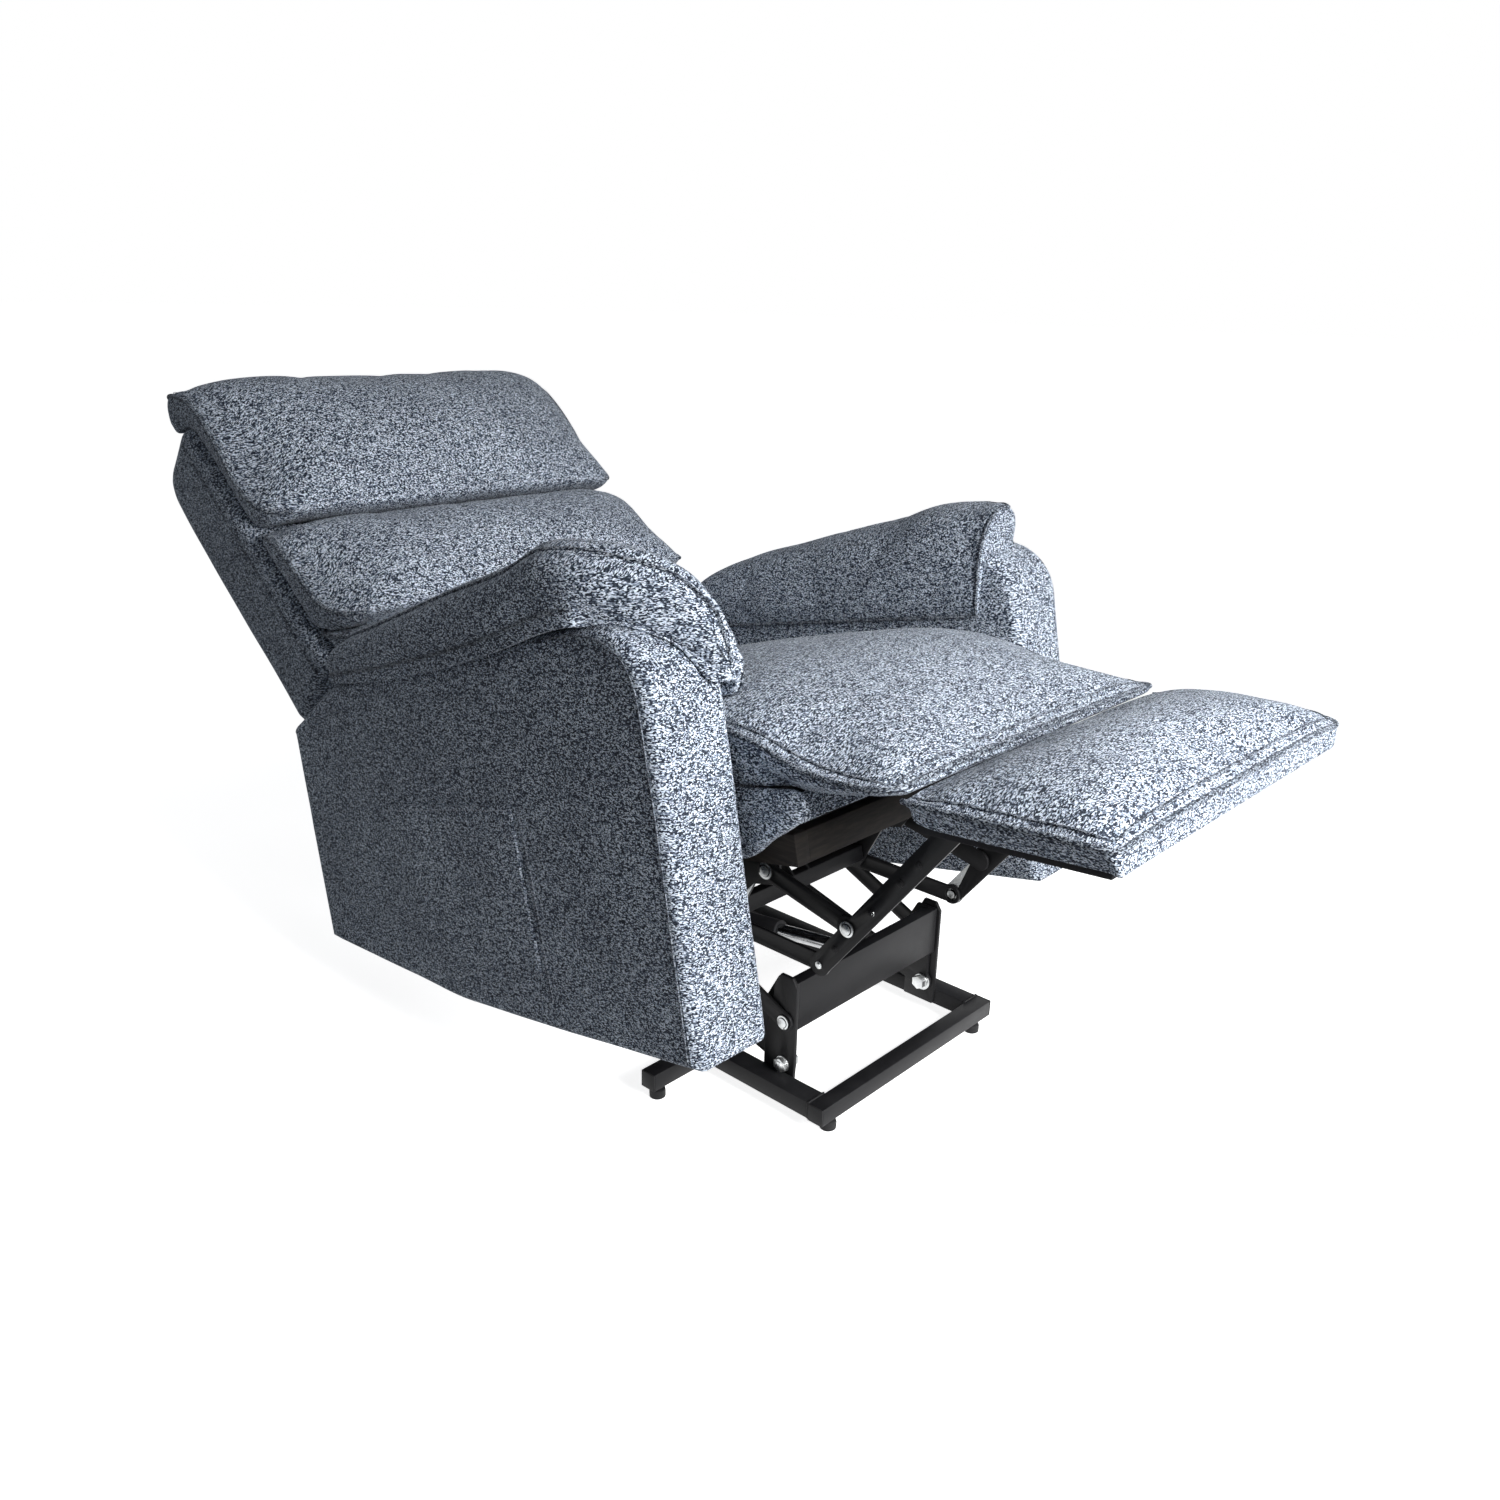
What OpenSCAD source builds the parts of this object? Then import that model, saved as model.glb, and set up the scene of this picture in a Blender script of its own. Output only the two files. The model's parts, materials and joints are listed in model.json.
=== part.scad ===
// Lift recliner chair: powered base, tilting seat box, reclining back and folding footrest.
// Millimetres. +Z is up, the sitter faces -Y, and the sitter's left is +X.
// The photographed pose is modelled: seat box tilted back, back lowered, footrest out.

/* [Base frame] */
// half width over the two floor rails
base_half_w = 190; // [175:1:210]
// length of the floor frame, front face to rear face
base_len = 684; // [620:1:760]
// height of the glides under the floor frame
glide_h = 19; // [14:1:26]
// square floor tube, outside size
tube = 24; // [20:1:30]
// reach of each outrigger from the centre
outrigger_reach = 286; // [250:1:300]

/* [Seat box] */
// backward pitch of the seat box in the photographed pose
pitch = 12; // [8:1:14]
// height of the arm's front bottom corner above the floor
box_h = 195; // [190:1:215]
// half of the gap between the arms
arm_gap = 296; // [290:1:320]
// thickness of each upholstered arm
arm_w = 114; // [90:1:130]
// height of the arm front above its bottom edge
arm_h = 499; // [490:1:510]
// half width of the seat cushion at its piping
seat_half = 285; // [270:1:287]

/* [Back] */
// angle of the back above the seat plane
back_angle = 51.6; // [48:0.1:54]
// half width of the back above the arms
back_half = 347; // [320:1:360]
// thickness of the padded back shell
shell_t = 168; // [130:1:185]

/* [Footrest] */
// half width of the footrest pad
foot_half = 280; // [250:1:285]
// length of the footrest pad
foot_len = 240; // [200:1:260]
// width of the flat linkage bars
bar_w = 28; // [22:1:32]

/* [Hidden] */
$fn = 48;

// the model's origin sits under the middle of its outline
frame_shift_y = 471;

// fits
run_fit = 0.05;
board_gap = 0.1;

// floor frame
tube_wall = 2;
rail_w = 30;
rail_inner = base_half_w - rail_w;
outrigger_y = 204.6;
tube_top = glide_h + tube;
glide_r = 11;
cap_t = 2;

// linkage planes: the plates stack inward from the floor rails, a running gap between each two
side_gap = 0.5;
plate_t = 4;
arm_plate_t = 5;
bracket_t = 5;
bracket_x = rail_inner - bracket_t;
carriage_x = rail_inner - plate_t - side_gap;
lift_link_x = rail_inner + 0.6;
arm_plate_x = bracket_x - arm_plate_t - side_gap;
bar_x = arm_plate_x - plate_t - side_gap;
link_x = bar_x - plate_t - side_gap;
seat_plate_x = link_x - plate_t - side_gap;

// lift pivots, floor frame axes [y, z]
bolt = [95, 55];
lift_q = [430, 150];
link_u0 = [92.07, 120];
link_u1 = [480, 294.99];
motor_a = [640, 80];
motor_b = [112, 155];
bolt_r = 6;
torque_r = 12;
lift_pin_r = 6;
open_fit = 2.2;
ear_r = 15;
shank_step = 1.4;
lift_bar_w = 30;

// seat box pivots, seat box axes [y, z]
swing_len = 120;
swing_lean = 33;
swing_front = [360, 60];
swing_rear = [560, 60];
swing_dy = swing_len * sin(swing_lean);
swing_dz = swing_len * cos(swing_lean);
swing_front_top = [swing_front[0] - swing_dy, swing_front[1] + swing_dz];
swing_rear_top = [swing_rear[0] - swing_dy, swing_rear[1] + swing_dz];
stud_r = 6;
foot_s1 = [122, 142.5];
foot_p1 = [-7.5, 83.3];
foot_p2 = [46.1, 28.2];
foot_s2 = [222.2, 65.6];
foot_f = [-190, 232];
foot_pitch = 7;
back_pivot = [600, 300];
recline_a = [228, 112];
lever_len = 130;
lever_angle = 257.5;
recline_b = [
  back_pivot[0] + lever_len * cos(lever_angle),
  back_pivot[1] + lever_len * sin(lever_angle)
];

// ---------- placing ----------

module in_frame() {
  translate([0, -frame_shift_y, 0])
    children();
}

module in_box() {
  translate([0, 0, box_h])
    rotate([-pitch, 0, 0])
      children();
}

module in_back() {
  translate([0, back_pivot[0], back_pivot[1]])
    rotate([back_angle, 0, 0])
      children();
}

module in_foot() {
  translate([0, foot_f[0], foot_f[1]])
    rotate([foot_pitch, 0, 0])
      children();
}

module right_hand() {
  mirror([1, 0, 0])
    children();
}

module both_hands() {
  children();
  right_hand()
    children();
}

// a flat plate drawn in [y, z], its inner face at x
module plate(x, t) {
  translate([x, 0, 0])
    rotate([90, 0, 90])
      linear_extrude(t)
        children();
}

module disc(p, r) {
  translate(p)
    circle(r);
}

// a flat link: the shank is a little narrower than its round ends
module bar_2d(p, q, w) {
  d = q - p;
  shank = w - shank_step;
  translate(p)
    rotate(atan2(d[1], d[0]))
      translate([0, -shank / 2])
        square([norm(d), shank]);
  disc(p, w / 2);
  disc(q, w / 2);
}

module slot_2d(p, q, r) {
  bar_2d(p, q, 2 * r);
}

// a stud along X through the plate stack
module stud(p, r, x0, x1) {
  translate([x0, p[0], p[1]])
    rotate([0, 90, 0])
      cylinder(h = x1 - x0, r = r);
}

module dome_head(p, r, x) {
  stud(p, r, x, x + 1.6);
  stud(p, r * 0.66, x + 1.6, x + 2.8);
}

// ---------- soft forms ----------

// closes a run of equal rings into one solid
module skin(rings) {
  n = len(rings[0]);
  m = len(rings);
  points = [for (ring = rings) for (p = ring) p];
  walls = [
    for (i = [0 : m - 2]) for (j = [0 : n - 1]) for (k = [0, 1])
      k == 0
        ? [i * n + j, i * n + (j + 1) % n, (i + 1) * n + j]
        : [i * n + (j + 1) % n, (i + 1) * n + (j + 1) % n, (i + 1) * n + j]
  ];
  first = [for (j = [1 : n - 2]) [0, j + 1, j]];
  last = [for (j = [1 : n - 2]) [(m - 1) * n, (m - 1) * n + j, (m - 1) * n + j + 1]];
  polyhedron(points = points, faces = concat(walls, first, last), convexity = 6);
}

crown_steps = [-0.985, -0.93, -0.82, -0.62, -0.34, 0, 0.34, 0.62, 0.82, 0.93, 0.985];

// one cross-section of a cushion: flat underside, seam on each side, crowned top
// row = [y, half width, half width underneath, underside, shoulder, seam, crown]
function crown_ring(row, power) = concat(
  [
    [row[1], row[0], row[5]],
    [row[2], row[0], row[4]],
    [row[2], row[0], row[3]],
    [-row[2], row[0], row[3]],
    [-row[2], row[0], row[4]],
    [-row[1], row[0], row[5]]
  ],
  [
    for (u = crown_steps)
      [u * row[1], row[0], row[5] + (row[6] - row[5]) * (1 - pow(abs(u), power))]
  ]
);

module cushion(rows, power) {
  skin([for (row = rows) crown_ring(row, power)]);
}

// ---------- floor frame ----------

module hollow_x(x0, x1, y, z, dy, dz) {
  translate([x0, y, z])
    difference() {
      cube([x1 - x0, dy, dz]);
      translate([-1, tube_wall, tube_wall])
        cube([x1 - x0 + 2, dy - 2 * tube_wall, dz - 2 * tube_wall]);
    }
}

module base_front_tube() {
  color("#1c1d20")
    hollow_x(-base_half_w, base_half_w, 0, glide_h, tube, tube);
}

module base_side_rail_left() {
  color("#1c1d20")
    translate([rail_inner, tube, glide_h])
      difference() {
        cube([rail_w, base_len - 2 * tube, tube]);
        translate([tube_wall, -1, tube_wall])
          cube([rail_w - 2 * tube_wall, base_len - 2 * tube + 2, tube - 2 * tube_wall]);
      }
}

module base_side_rail_right() {
  right_hand()
    base_side_rail_left();
}

module motor_ear_2d() {
  difference() {
    union() {
      disc(motor_a, ear_r);
      polygon([
        [base_len - tube, tube_top],
        [base_len, tube_top],
        [motor_a[0] + ear_r, motor_a[1]],
        [motor_a[0] - ear_r, motor_a[1]]
      ]);
    }
    disc(motor_a, lift_pin_r);
  }
}

module base_rear_tube() {
  color("#1c1d20") {
    hollow_x(-base_half_w, base_half_w, base_len - tube, glide_h, tube, tube);
    plate(14.5, plate_t)
      motor_ear_2d();
    plate(-14.5 - plate_t, plate_t)
      motor_ear_2d();
    stud(motor_a, lift_pin_r, -22, 22);
  }
}

module outrigger_left() {
  color("#1c1d20")
    hollow_x(base_half_w, outrigger_reach, outrigger_y, glide_h, tube, tube);
}

module outrigger_right() {
  right_hand()
    outrigger_left();
}

module end_cap(x, y) {
  translate([x, y, glide_h])
    cube([cap_t, tube, tube]);
  translate([x - 6, y + tube_wall, glide_h + tube_wall])
    cube([6, tube - 2 * tube_wall, tube - 2 * tube_wall]);
}

module tube_end_caps() {
  color("#151618")
    both_hands() {
      end_cap(base_half_w, 0);
      end_cap(base_half_w, base_len - tube);
      end_cap(outrigger_reach, outrigger_y);
    }
}

module glide(x, y) {
  translate([x, y, 0])
    cylinder(h = glide_h - 6, r = glide_r);
  translate([x, y, glide_h - 6])
    cylinder(h = 6, r = glide_r * 0.6);
}

module glide_feet() {
  color("#101113")
    both_hands() {
      glide(base_half_w - 26, tube / 2);
      glide(outrigger_reach - 16, outrigger_y + tube / 2);
      glide(base_half_w - 26, base_len - tube / 2);
    }
}

module base_bracket_2d() {
  difference() {
    polygon([
      [78, glide_h + 2], [128, glide_h + 2], [128, 70], [112, 168],
      [104, 184], [84, 184], [76, 172], [76, 57]
    ]);
    disc(bolt, bolt_r + run_fit);
    disc(link_u0, lift_pin_r);
  }
}

module base_bracket_left() {
  color("#1a1b1e") {
    plate(bracket_x, bracket_t)
      base_bracket_2d();
    stud(link_u0, lift_pin_r, bracket_x, lift_link_x + plate_t + 1);
    dome_head(link_u0, 10, lift_link_x + plate_t + 1);
  }
}

module base_bracket_right() {
  right_hand()
    base_bracket_left();
}

module hex_head(p, across, x0, x1) {
  translate([x0, p[0], p[1]])
    rotate([0, 90, 0])
      cylinder(h = x1 - x0, r = across / sqrt(3), $fn = 6);
}

module pivot_bolt() {
  stud(bolt, bolt_r, arm_plate_x - 9, bracket_x + bracket_t + 9);
  stud(bolt, 11, arm_plate_x - 2.2, arm_plate_x - 0.2);
  hex_head(bolt, 18, arm_plate_x - 10, arm_plate_x - 2.2);
  stud(bolt, 11, bracket_x + bracket_t, bracket_x + bracket_t + 2);
  hex_head(bolt, 18, bracket_x + bracket_t + 2, bracket_x + bracket_t + 8);
}

module front_pivot_bolts() {
  color("#c3c8ce")
    both_hands()
      pivot_bolt();
}

// ---------- lift linkage ----------

module lift_arm_2d() {
  difference() {
    union() {
      disc(bolt, ear_r);
      polygon([[80, 107], [86, 100], [86, 55], [112, 52], [140, 84], [140, 124], [112, 176], [80, 176]]);
      bar_2d([bolt[0] + 20, bolt[1] + 8], lift_q, lift_bar_w);
    }
    disc(bolt, bolt_r + run_fit);
    disc(lift_q, torque_r + run_fit);
  }
}

module lift_arm_left() {
  color("#1a1b1e")
    plate(arm_plate_x, arm_plate_t)
      lift_arm_2d();
}

module lift_arm_right() {
  right_hand()
    lift_arm_left();
}

module motor_lug_2d() {
  difference() {
    union() {
      disc(motor_b, 13);
      polygon([[85, 128], [85, 174], [motor_b[0], motor_b[1] + 13], [motor_b[0], motor_b[1] - 13]]);
    }
    disc(motor_b, 5);
  }
}

module front_cross_member() {
  span = 2 * arm_plate_x;
  color("#1b1c1f") {
    translate([-arm_plate_x, 80, 107])
      cube([span, 5, 69]);
    translate([-arm_plate_x, 85, 107])
      cube([span, 22, 4]);
    translate([-arm_plate_x, 85, 172])
      cube([span, 12, 4]);
    plate(12, plate_t)
      motor_lug_2d();
    plate(-12 - plate_t, plate_t)
      motor_lug_2d();
    stud(motor_b, 5, -18, 18);
  }
}

module lift_link_2d() {
  difference() {
    bar_2d(link_u0, link_u1, 26);
    disc(link_u0, lift_pin_r + run_fit);
    disc(link_u1, lift_pin_r + open_fit);
  }
}

module lift_link_left() {
  color("#1a1b1e")
    plate(lift_link_x, plate_t)
      lift_link_2d();
}

module lift_link_right() {
  right_hand()
    lift_link_left();
}

// actuators lie along a line from their clevis to their rod eye
module along(p, q) {
  d = q - p;
  translate([0, p[0], p[1]])
    rotate([atan2(d[1], d[0]), 0, 0])
      children();
}

// housing of an actuator: clevis eye at the origin, outer tube along +Y, motor can beside it
module actuator_housing(pin_r, tube_to) {
  difference() {
    union() {
      rotate([0, 90, 0])
        cylinder(h = 28, r = 13, center = true);
      translate([-14, 0, -16])
        cube([28, 60, 32]);
      translate([0, 58, 0])
        rotate([-90, 0, 0])
          cylinder(h = tube_to - 58, r = 15);
      translate([14, 34, 0])
        rotate([0, 90, 0])
          cylinder(h = 62, r = 19);
    }
    rotate([0, 90, 0])
      cylinder(h = 40, r = pin_r + run_fit, center = true);
    translate([0, 64, 0])
      rotate([-90, 0, 0])
        cylinder(h = tube_to, r = 10);
  }
}

// rod of an actuator: slides in the tube and ends in a plain eye
module actuator_rod(reach, start, eye_r, hole_r) {
  difference() {
    union() {
      translate([0, start, 0])
        rotate([-90, 0, 0])
          cylinder(h = reach - start - hole_r - 1, r = 9.9);
      translate([0, reach, 0])
        rotate([0, 90, 0])
          cylinder(h = 12, r = eye_r, center = true);
    }
    translate([0, reach, 0])
      rotate([0, 90, 0])
        cylinder(h = 30, r = hole_r, center = true);
  }
}

module lift_motor() {
  color("#222327")
    along(motor_a, motor_b)
      actuator_housing(lift_pin_r, 400);
}

module lift_rod() {
  reach = norm(motor_b - motor_a);
  color("#3a3c40")
    along(motor_a, motor_b)
      actuator_rod(reach, 230, 16, 11);
}

// ---------- carriage and arms ----------

module carriage_plate_2d() {
  difference() {
    polygon([
      [312, 130], [344, 172], [432, 216], [464, 216], [466, 176], [498, 150], [655, 122],
      [660, 58], [560, 36], [430, 22], [345, 40]
    ]);
    disc([430, 45.4], torque_r);
    polygon([[400, 96], [470, 92], [440, 168], [400, 150]]);
    polygon([[500, 84], [610, 92], [590, 112], [512, 124]]);
  }
}

module carriage_plate_left() {
  color("#1a1b1e")
    in_box() {
      plate(carriage_x, plate_t)
        carriage_plate_2d();
      stud(swing_front, stud_r, bar_x, carriage_x);
      stud(swing_rear, stud_r, bar_x, carriage_x);
      stud([448.7, 197.6], lift_pin_r, carriage_x + plate_t, lift_link_x + plate_t + 1);
      dome_head([448.7, 197.6], 11, lift_link_x + plate_t + 1);
    }
}

module carriage_plate_right() {
  right_hand()
    carriage_plate_left();
}

module carriage_torque_tube() {
  color("#1a1b1e")
    translate([-carriage_x - plate_t, lift_q[0], lift_q[1]])
      rotate([0, 90, 0])
        difference() {
          cylinder(h = 2 * (carriage_x + plate_t), r = torque_r);
          translate([0, 0, -1])
            cylinder(h = 2 * (carriage_x + plate_t) + 2, r = torque_r - 3);
        }
}

module carriage_cross_tube() {
  color("#1a1b1e")
    in_box()
      hollow_x(-carriage_x, carriage_x, 628, 66, 25, 25);
}

module arm_stub(y, z) {
  x0 = carriage_x + plate_t;
  hollow_x(x0, arm_gap - plate_t, y, z, tube, tube);
  translate([arm_gap - plate_t, y - 18, z - 14])
    cube([plate_t, tube + 36, tube + 28]);
}

module arm_stubs() {
  color("#1a1b1e")
    in_box()
      both_hands() {
        arm_stub(322, 140);
        arm_stub(600, 84);
      }
}

arm_corner_r = 82;

module arm_side_2d() {
  cy = 78;
  cz = arm_h - arm_corner_r;
  polygon([
    [0, 0], [435, 3], [576, 20], [790, 43], [785, 370], [623, 437], [400, 464], [107, 498],
    [cy, arm_h], [-4, cz], [-4, 340]
  ]);
  disc([cy, cz], arm_corner_r);
}

module arm_panel_left() {
  color("#4a515c")
    in_box()
      plate(arm_gap, arm_w)
        arm_side_2d();
}

module arm_panel_right() {
  right_hand()
    arm_panel_left();
}

// arm pad: a saddle cushion over the arm, deep flap outside, long drape inside
// row = [y, outer reach, ridge reach, flap edge, ridge, arm top, inner hem]
pad_rows = [
  [-24, 12, 8, 436, 448, 420, 428],
  [-18, 24, 10, 430, 492, 418, 410],
  [-8, 38, 24, 446, 515, 424, 404],
  [8, 56, 36, 464, 538, 462, 402],
  [30, 80, 56, 484, 554, 486, 402],
  [60, 104, 76, 497, 568, 500.5, 402],
  [100, 122, 94, 499, 580, 501.5, 402],
  [140, 128, 104, 494, 584, 498, 402],
  [225, 129, 106, 476, 562, 488, 402],
  [337, 129, 106, 457, 544, 475.5, 402],
  [430, 128, 105, 447, 526, 464.5, 402],
  [520, 126, 103, 439, 509, 453, 402],
  [600, 123, 100, 436, 494, 443.5, 402],
  [636, 118, 98, 436, 480, 440, 404],
  [652, 112, 96, 440, 462, 438, 410]
];

function pad_ring(row) =
  let (
    g = arm_gap,
    out = g + row[1],
    ridge = g + row[2],
    top = row[4],
    saddle = row[5] + 1.2,
    hem = row[6],
    cut = min(g + arm_w + 0.8, out - 5)
  )
  [
    [out - 6, row[0], row[3]],
    [cut, row[0], max(row[3] + 2, hem)],
    [cut, row[0], saddle],
    [g - 0.8, row[0], saddle],
    [g - 0.8, row[0], hem],
    [g - 9, row[0], hem - 1],
    [g - 14, row[0], hem + 14],
    [g - 15, row[0], (hem + top) / 2],
    [g - 11, row[0], top - (top - hem) * 0.32],
    [g + row[2] * 0.02, row[0], top - (top - hem) * 0.17],
    [g + row[2] * 0.3, row[0], top - (top - hem) * 0.055],
    [g + row[2] * 0.65, row[0], top - (top - hem) * 0.005],
    [ridge, row[0], top],
    [(ridge + out) / 2 + 6, row[0], top - (top - row[3]) * 0.16],
    [out, row[0], top - (top - row[3]) * 0.45],
    [out - 1, row[0], row[3] + (top - row[3]) * 0.3]
  ];

module arm_pad_left() {
  color("#565e6a")
    in_box()
      skin([for (i = [len(pad_rows) - 1 : -1 : 0]) pad_ring(pad_rows[i])]);
}

module arm_pad_right() {
  right_hand()
    arm_pad_left();
}

module pocket_2d() {
  polygon([[264, 292], [561, 269], [555, 137], [546, 55], [258, 78], [264, 200]]);
}

module side_pocket() {
  x0 = arm_gap + arm_w;
  color("#4a515c")
    in_box()
      right_hand() {
        plate(x0 + 3, 3)
          pocket_2d();
        plate(x0, 3)
          difference() {
            pocket_2d();
            polygon([[270, 300], [555, 277], [549, 137], [540, 62], [265, 85]]);
          }
      }
}

// ---------- swing links ----------

module swing_2d(p, q) {
  difference() {
    bar_2d(p, q, bar_w);
    disc(p, stud_r + run_fit);
    disc(q, stud_r + run_fit);
  }
}

module swing_front_left() {
  color("#1d1e21")
    in_box()
      plate(bar_x, plate_t)
        swing_2d(swing_front, swing_front_top);
}

module swing_front_right() {
  right_hand()
    swing_front_left();
}

module swing_rear_left() {
  color("#1d1e21")
    in_box()
      plate(bar_x, plate_t)
        swing_2d(swing_rear, swing_rear_top);
}

module swing_rear_right() {
  right_hand()
    swing_rear_left();
}

// ---------- seat ----------

module seat_plate_2d() {
  polygon([
    [100, 180], [102, 138], [118, 122], [150, 120], [204, 54], [236, 50],
    [262, 76], [300, 126], [520, 138], [520, 180]
  ]);
}

module seat_plate_left() {
  color("#1a1b1e")
    in_box() {
      plate(seat_plate_x, plate_t)
        seat_plate_2d();
      stud(foot_s1, stud_r, seat_plate_x + plate_t, link_x + plate_t + 0.5);
      dome_head(foot_s1, 12, link_x + plate_t + 0.5);
      stud(foot_s2, stud_r, seat_plate_x + plate_t, link_x + plate_t);
      stud(swing_front_top, stud_r, seat_plate_x + plate_t, bar_x + plate_t + 0.3);
      stud(swing_rear_top, stud_r, seat_plate_x + plate_t, bar_x + plate_t + 0.3);
    }
}

module seat_plate_right() {
  right_hand()
    seat_plate_left();
}

module recline_ear_2d() {
  difference() {
    union() {
      disc(recline_a, 13);
      polygon([[194, 88], [216, 88], [recline_a[0] + 12, recline_a[1] - 5], [recline_a[0] - 10, recline_a[1] + 8]]);
    }
    disc(recline_a, 5);
  }
}

module seat_cross_tube() {
  color("#1a1b1e")
    in_box() {
      hollow_x(-seat_plate_x, seat_plate_x, 194, 66, 22, 22);
      plate(14.5, plate_t)
        recline_ear_2d();
      plate(-14.5 - plate_t, plate_t)
        recline_ear_2d();
      stud(recline_a, 5, -20, 20);
    }
}

module seat_cross_rails() {
  color("#1a1b1e")
    in_box() {
      hollow_x(-262, 262, 140, 180, 25, 20);
      hollow_x(-262, 262, 470, 180, 25, 20);
    }
}

module hinge_bracket_2d() {
  difference() {
    union() {
      bar_2d([528, 228], back_pivot, 24);
      disc(back_pivot, 16);
      polygon([[468, 202], [542, 202], [548, 236], [520, 244], [468, 232]]);
    }
    disc(back_pivot, 7);
  }
}

module seat_frame() {
  color("#6d5a43")
    in_box() {
      both_hands() {
        translate([240, -45, 200])
          cube([22, 587, 38]);
        plate(262, 5)
          hinge_bracket_2d();
        stud(back_pivot, 7, 267, 275);
      }
      for (y = [-45, 520])
        translate([board_gap - 240, y, 200])
          cube([480 - 2 * board_gap, 22, 38]);
    }
}

module seat_webbing() {
  color("#2a2b2e")
    in_box()
      for (k = [0 : 6])
        translate([-240, 20 + 68 * k, 226])
          cube([480, 48, 3]);
}

module cover_side_2d() {
  polygon([
    [-60, 283], [-68, 268], [-56, 250], [-20, 236], [4, 214], [28, 205],
    [464, 205], [464, 292], [-42, 292]
  ]);
}

module seat_box_cover() {
  color("#4a515c")
    in_box() {
      both_hands()
        plate(262.3, 12)
          cover_side_2d();
      translate([board_gap - 262.3, -57, 250])
        cube([524.6 - 2 * board_gap, 11.7, 34]);
    }
}

// [y, half width, half width underneath, underside, shoulder, seam, crown]
seat_rows = [
  [-212, seat_half - 16, seat_half - 24, 299, 301, 304, 309],
  [-204, seat_half - 5, seat_half - 16, 294, 298, 304, 321],
  [-185, seat_half, seat_half - 14, 290, 297, 304, 333],
  [-150, seat_half, seat_half - 14, 287, 299, 307, 346],
  [-110, seat_half, seat_half - 14, 285, 304, 314, 358],
  [-64, seat_half, seat_half - 14, 285, 315, 330, 372],
  [-44, seat_half, seat_half - 14, 293.5, 322, 340, 378],
  [-41, seat_half, seat_half - 12, 293.5, 323, 341, 379],
  [-20, seat_half, seat_half - 12, 293.5, 327, 350, 385],
  [20, seat_half, seat_half - 12, 293.5, 330, 360, 394],
  [80, seat_half, seat_half - 12, 293.5, 330, 365, 400],
  [150, seat_half, seat_half - 12, 293.5, 330, 365, 398],
  [230, seat_half, seat_half - 12, 293.5, 330, 362, 394],
  [330, seat_half, seat_half - 12, 293.5, 328, 355, 384],
  [430, seat_half, seat_half - 12, 293.5, 325, 345, 373],
  [520, seat_half - 2, seat_half - 14, 293.5, 320, 338, 362],
  [556, seat_half - 6, seat_half - 18, 294, 314, 330, 348],
  [570, seat_half - 10, seat_half - 22, 296, 310, 320, 334],
  [577, seat_half - 20, seat_half - 28, 302, 306, 312, 318]
];

// the seat cushion drops between the side covers, so its rings carry a narrower core
function core_depth(row) = row[0] < -43 || row[0] > 569 ? row[3] - 0.5 : 238.3;

function seat_ring(row) =
  let (ring = crown_ring(row, 5))
  concat(
    [ring[0], ring[1], ring[2]],
    [
      [258, row[0], row[3]], [258, row[0], core_depth(row)],
      [-258, row[0], core_depth(row)], [-258, row[0], row[3]]
    ],
    [for (i = [3 : len(ring) - 1]) ring[i]]
  );

module seat_cushion() {
  color("#59616d")
    in_box()
      skin([for (row = seat_rows) seat_ring(row)]);
}

module recline_motor() {
  color("#222327")
    in_box()
      along(recline_a, recline_b)
        actuator_housing(5, 250);
}

module recline_rod() {
  reach = norm(recline_b - recline_a);
  color("#3a3c40")
    in_box()
      along(recline_a, recline_b)
        actuator_rod(reach, 130, 14, 9);
}

// ---------- back ----------

// the padded shell is two blocks: a narrow one between the arms, a wide one above them
// [s, half width, front face, rear face, corner]
shell_low_rows = [
  [-40, 284, -44, 12, 20],
  [-20, 290, -40, 0, 30],
  [190, 290, -40, 0, 36],
  [206 - board_gap, 290, -40, 0, 36]
];
shell_high_rows = [
  [206, 290, -40, 0, 36],
  [224, back_half - 8, -40, 0, 40],
  [240, back_half, -42, 0, 44],
  [400, back_half, -40, 0, 46],
  [600, back_half, -40, 0, 46],
  [680, back_half, -40, 2, 48],
  [708, back_half - 3, -44, 10, 46],
  [722, back_half - 9, -56, 26, 38],
  [729, back_half - 20, -76, 48, 22]
];

function shell_ring(row) =
  let (
    w = row[1],
    f = row[2],
    b = -shell_t - 40 + row[3],
    c = row[4]
  )
  [
    [w - 14, row[0], f], [w - 4, row[0], f - 6], [w, row[0], f - 20],
    [w, row[0], b + c], [w - c * 0.12, row[0], b + c * 0.55],
    [w - c * 0.45, row[0], b + c * 0.16], [w - c, row[0], b],
    [-w + c, row[0], b], [-w + c * 0.45, row[0], b + c * 0.16],
    [-w + c * 0.12, row[0], b + c * 0.55], [-w, row[0], b + c],
    [-w, row[0], f - 20], [-w + 4, row[0], f - 6], [-w + 14, row[0], f]
  ];

module back_shell() {
  color("#4a515c")
    in_box()
      in_back() {
        skin([for (row = shell_low_rows) shell_ring(row)]);
        skin([for (row = shell_high_rows) shell_ring(row)]);
      }
}

module hinge_plate_2d() {
  difference() {
    union() {
      circle(18);
      polygon([[-30, -39.7], [48, -39.7], [20, 8], [-14, 14]]);
    }
    circle(7 + run_fit);
  }
}

module lever_2d() {
  p = [
    lever_len * cos(lever_angle - back_angle),
    lever_len * sin(lever_angle - back_angle)
  ];
  difference() {
    union() {
      disc(p, 13);
      polygon([[-40.3, -52], [-40.3, -96], [p[0] - 4, p[1] - 12], [p[0] + 4, p[1] + 12]]);
    }
    disc(p, 5);
  }
}

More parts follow.
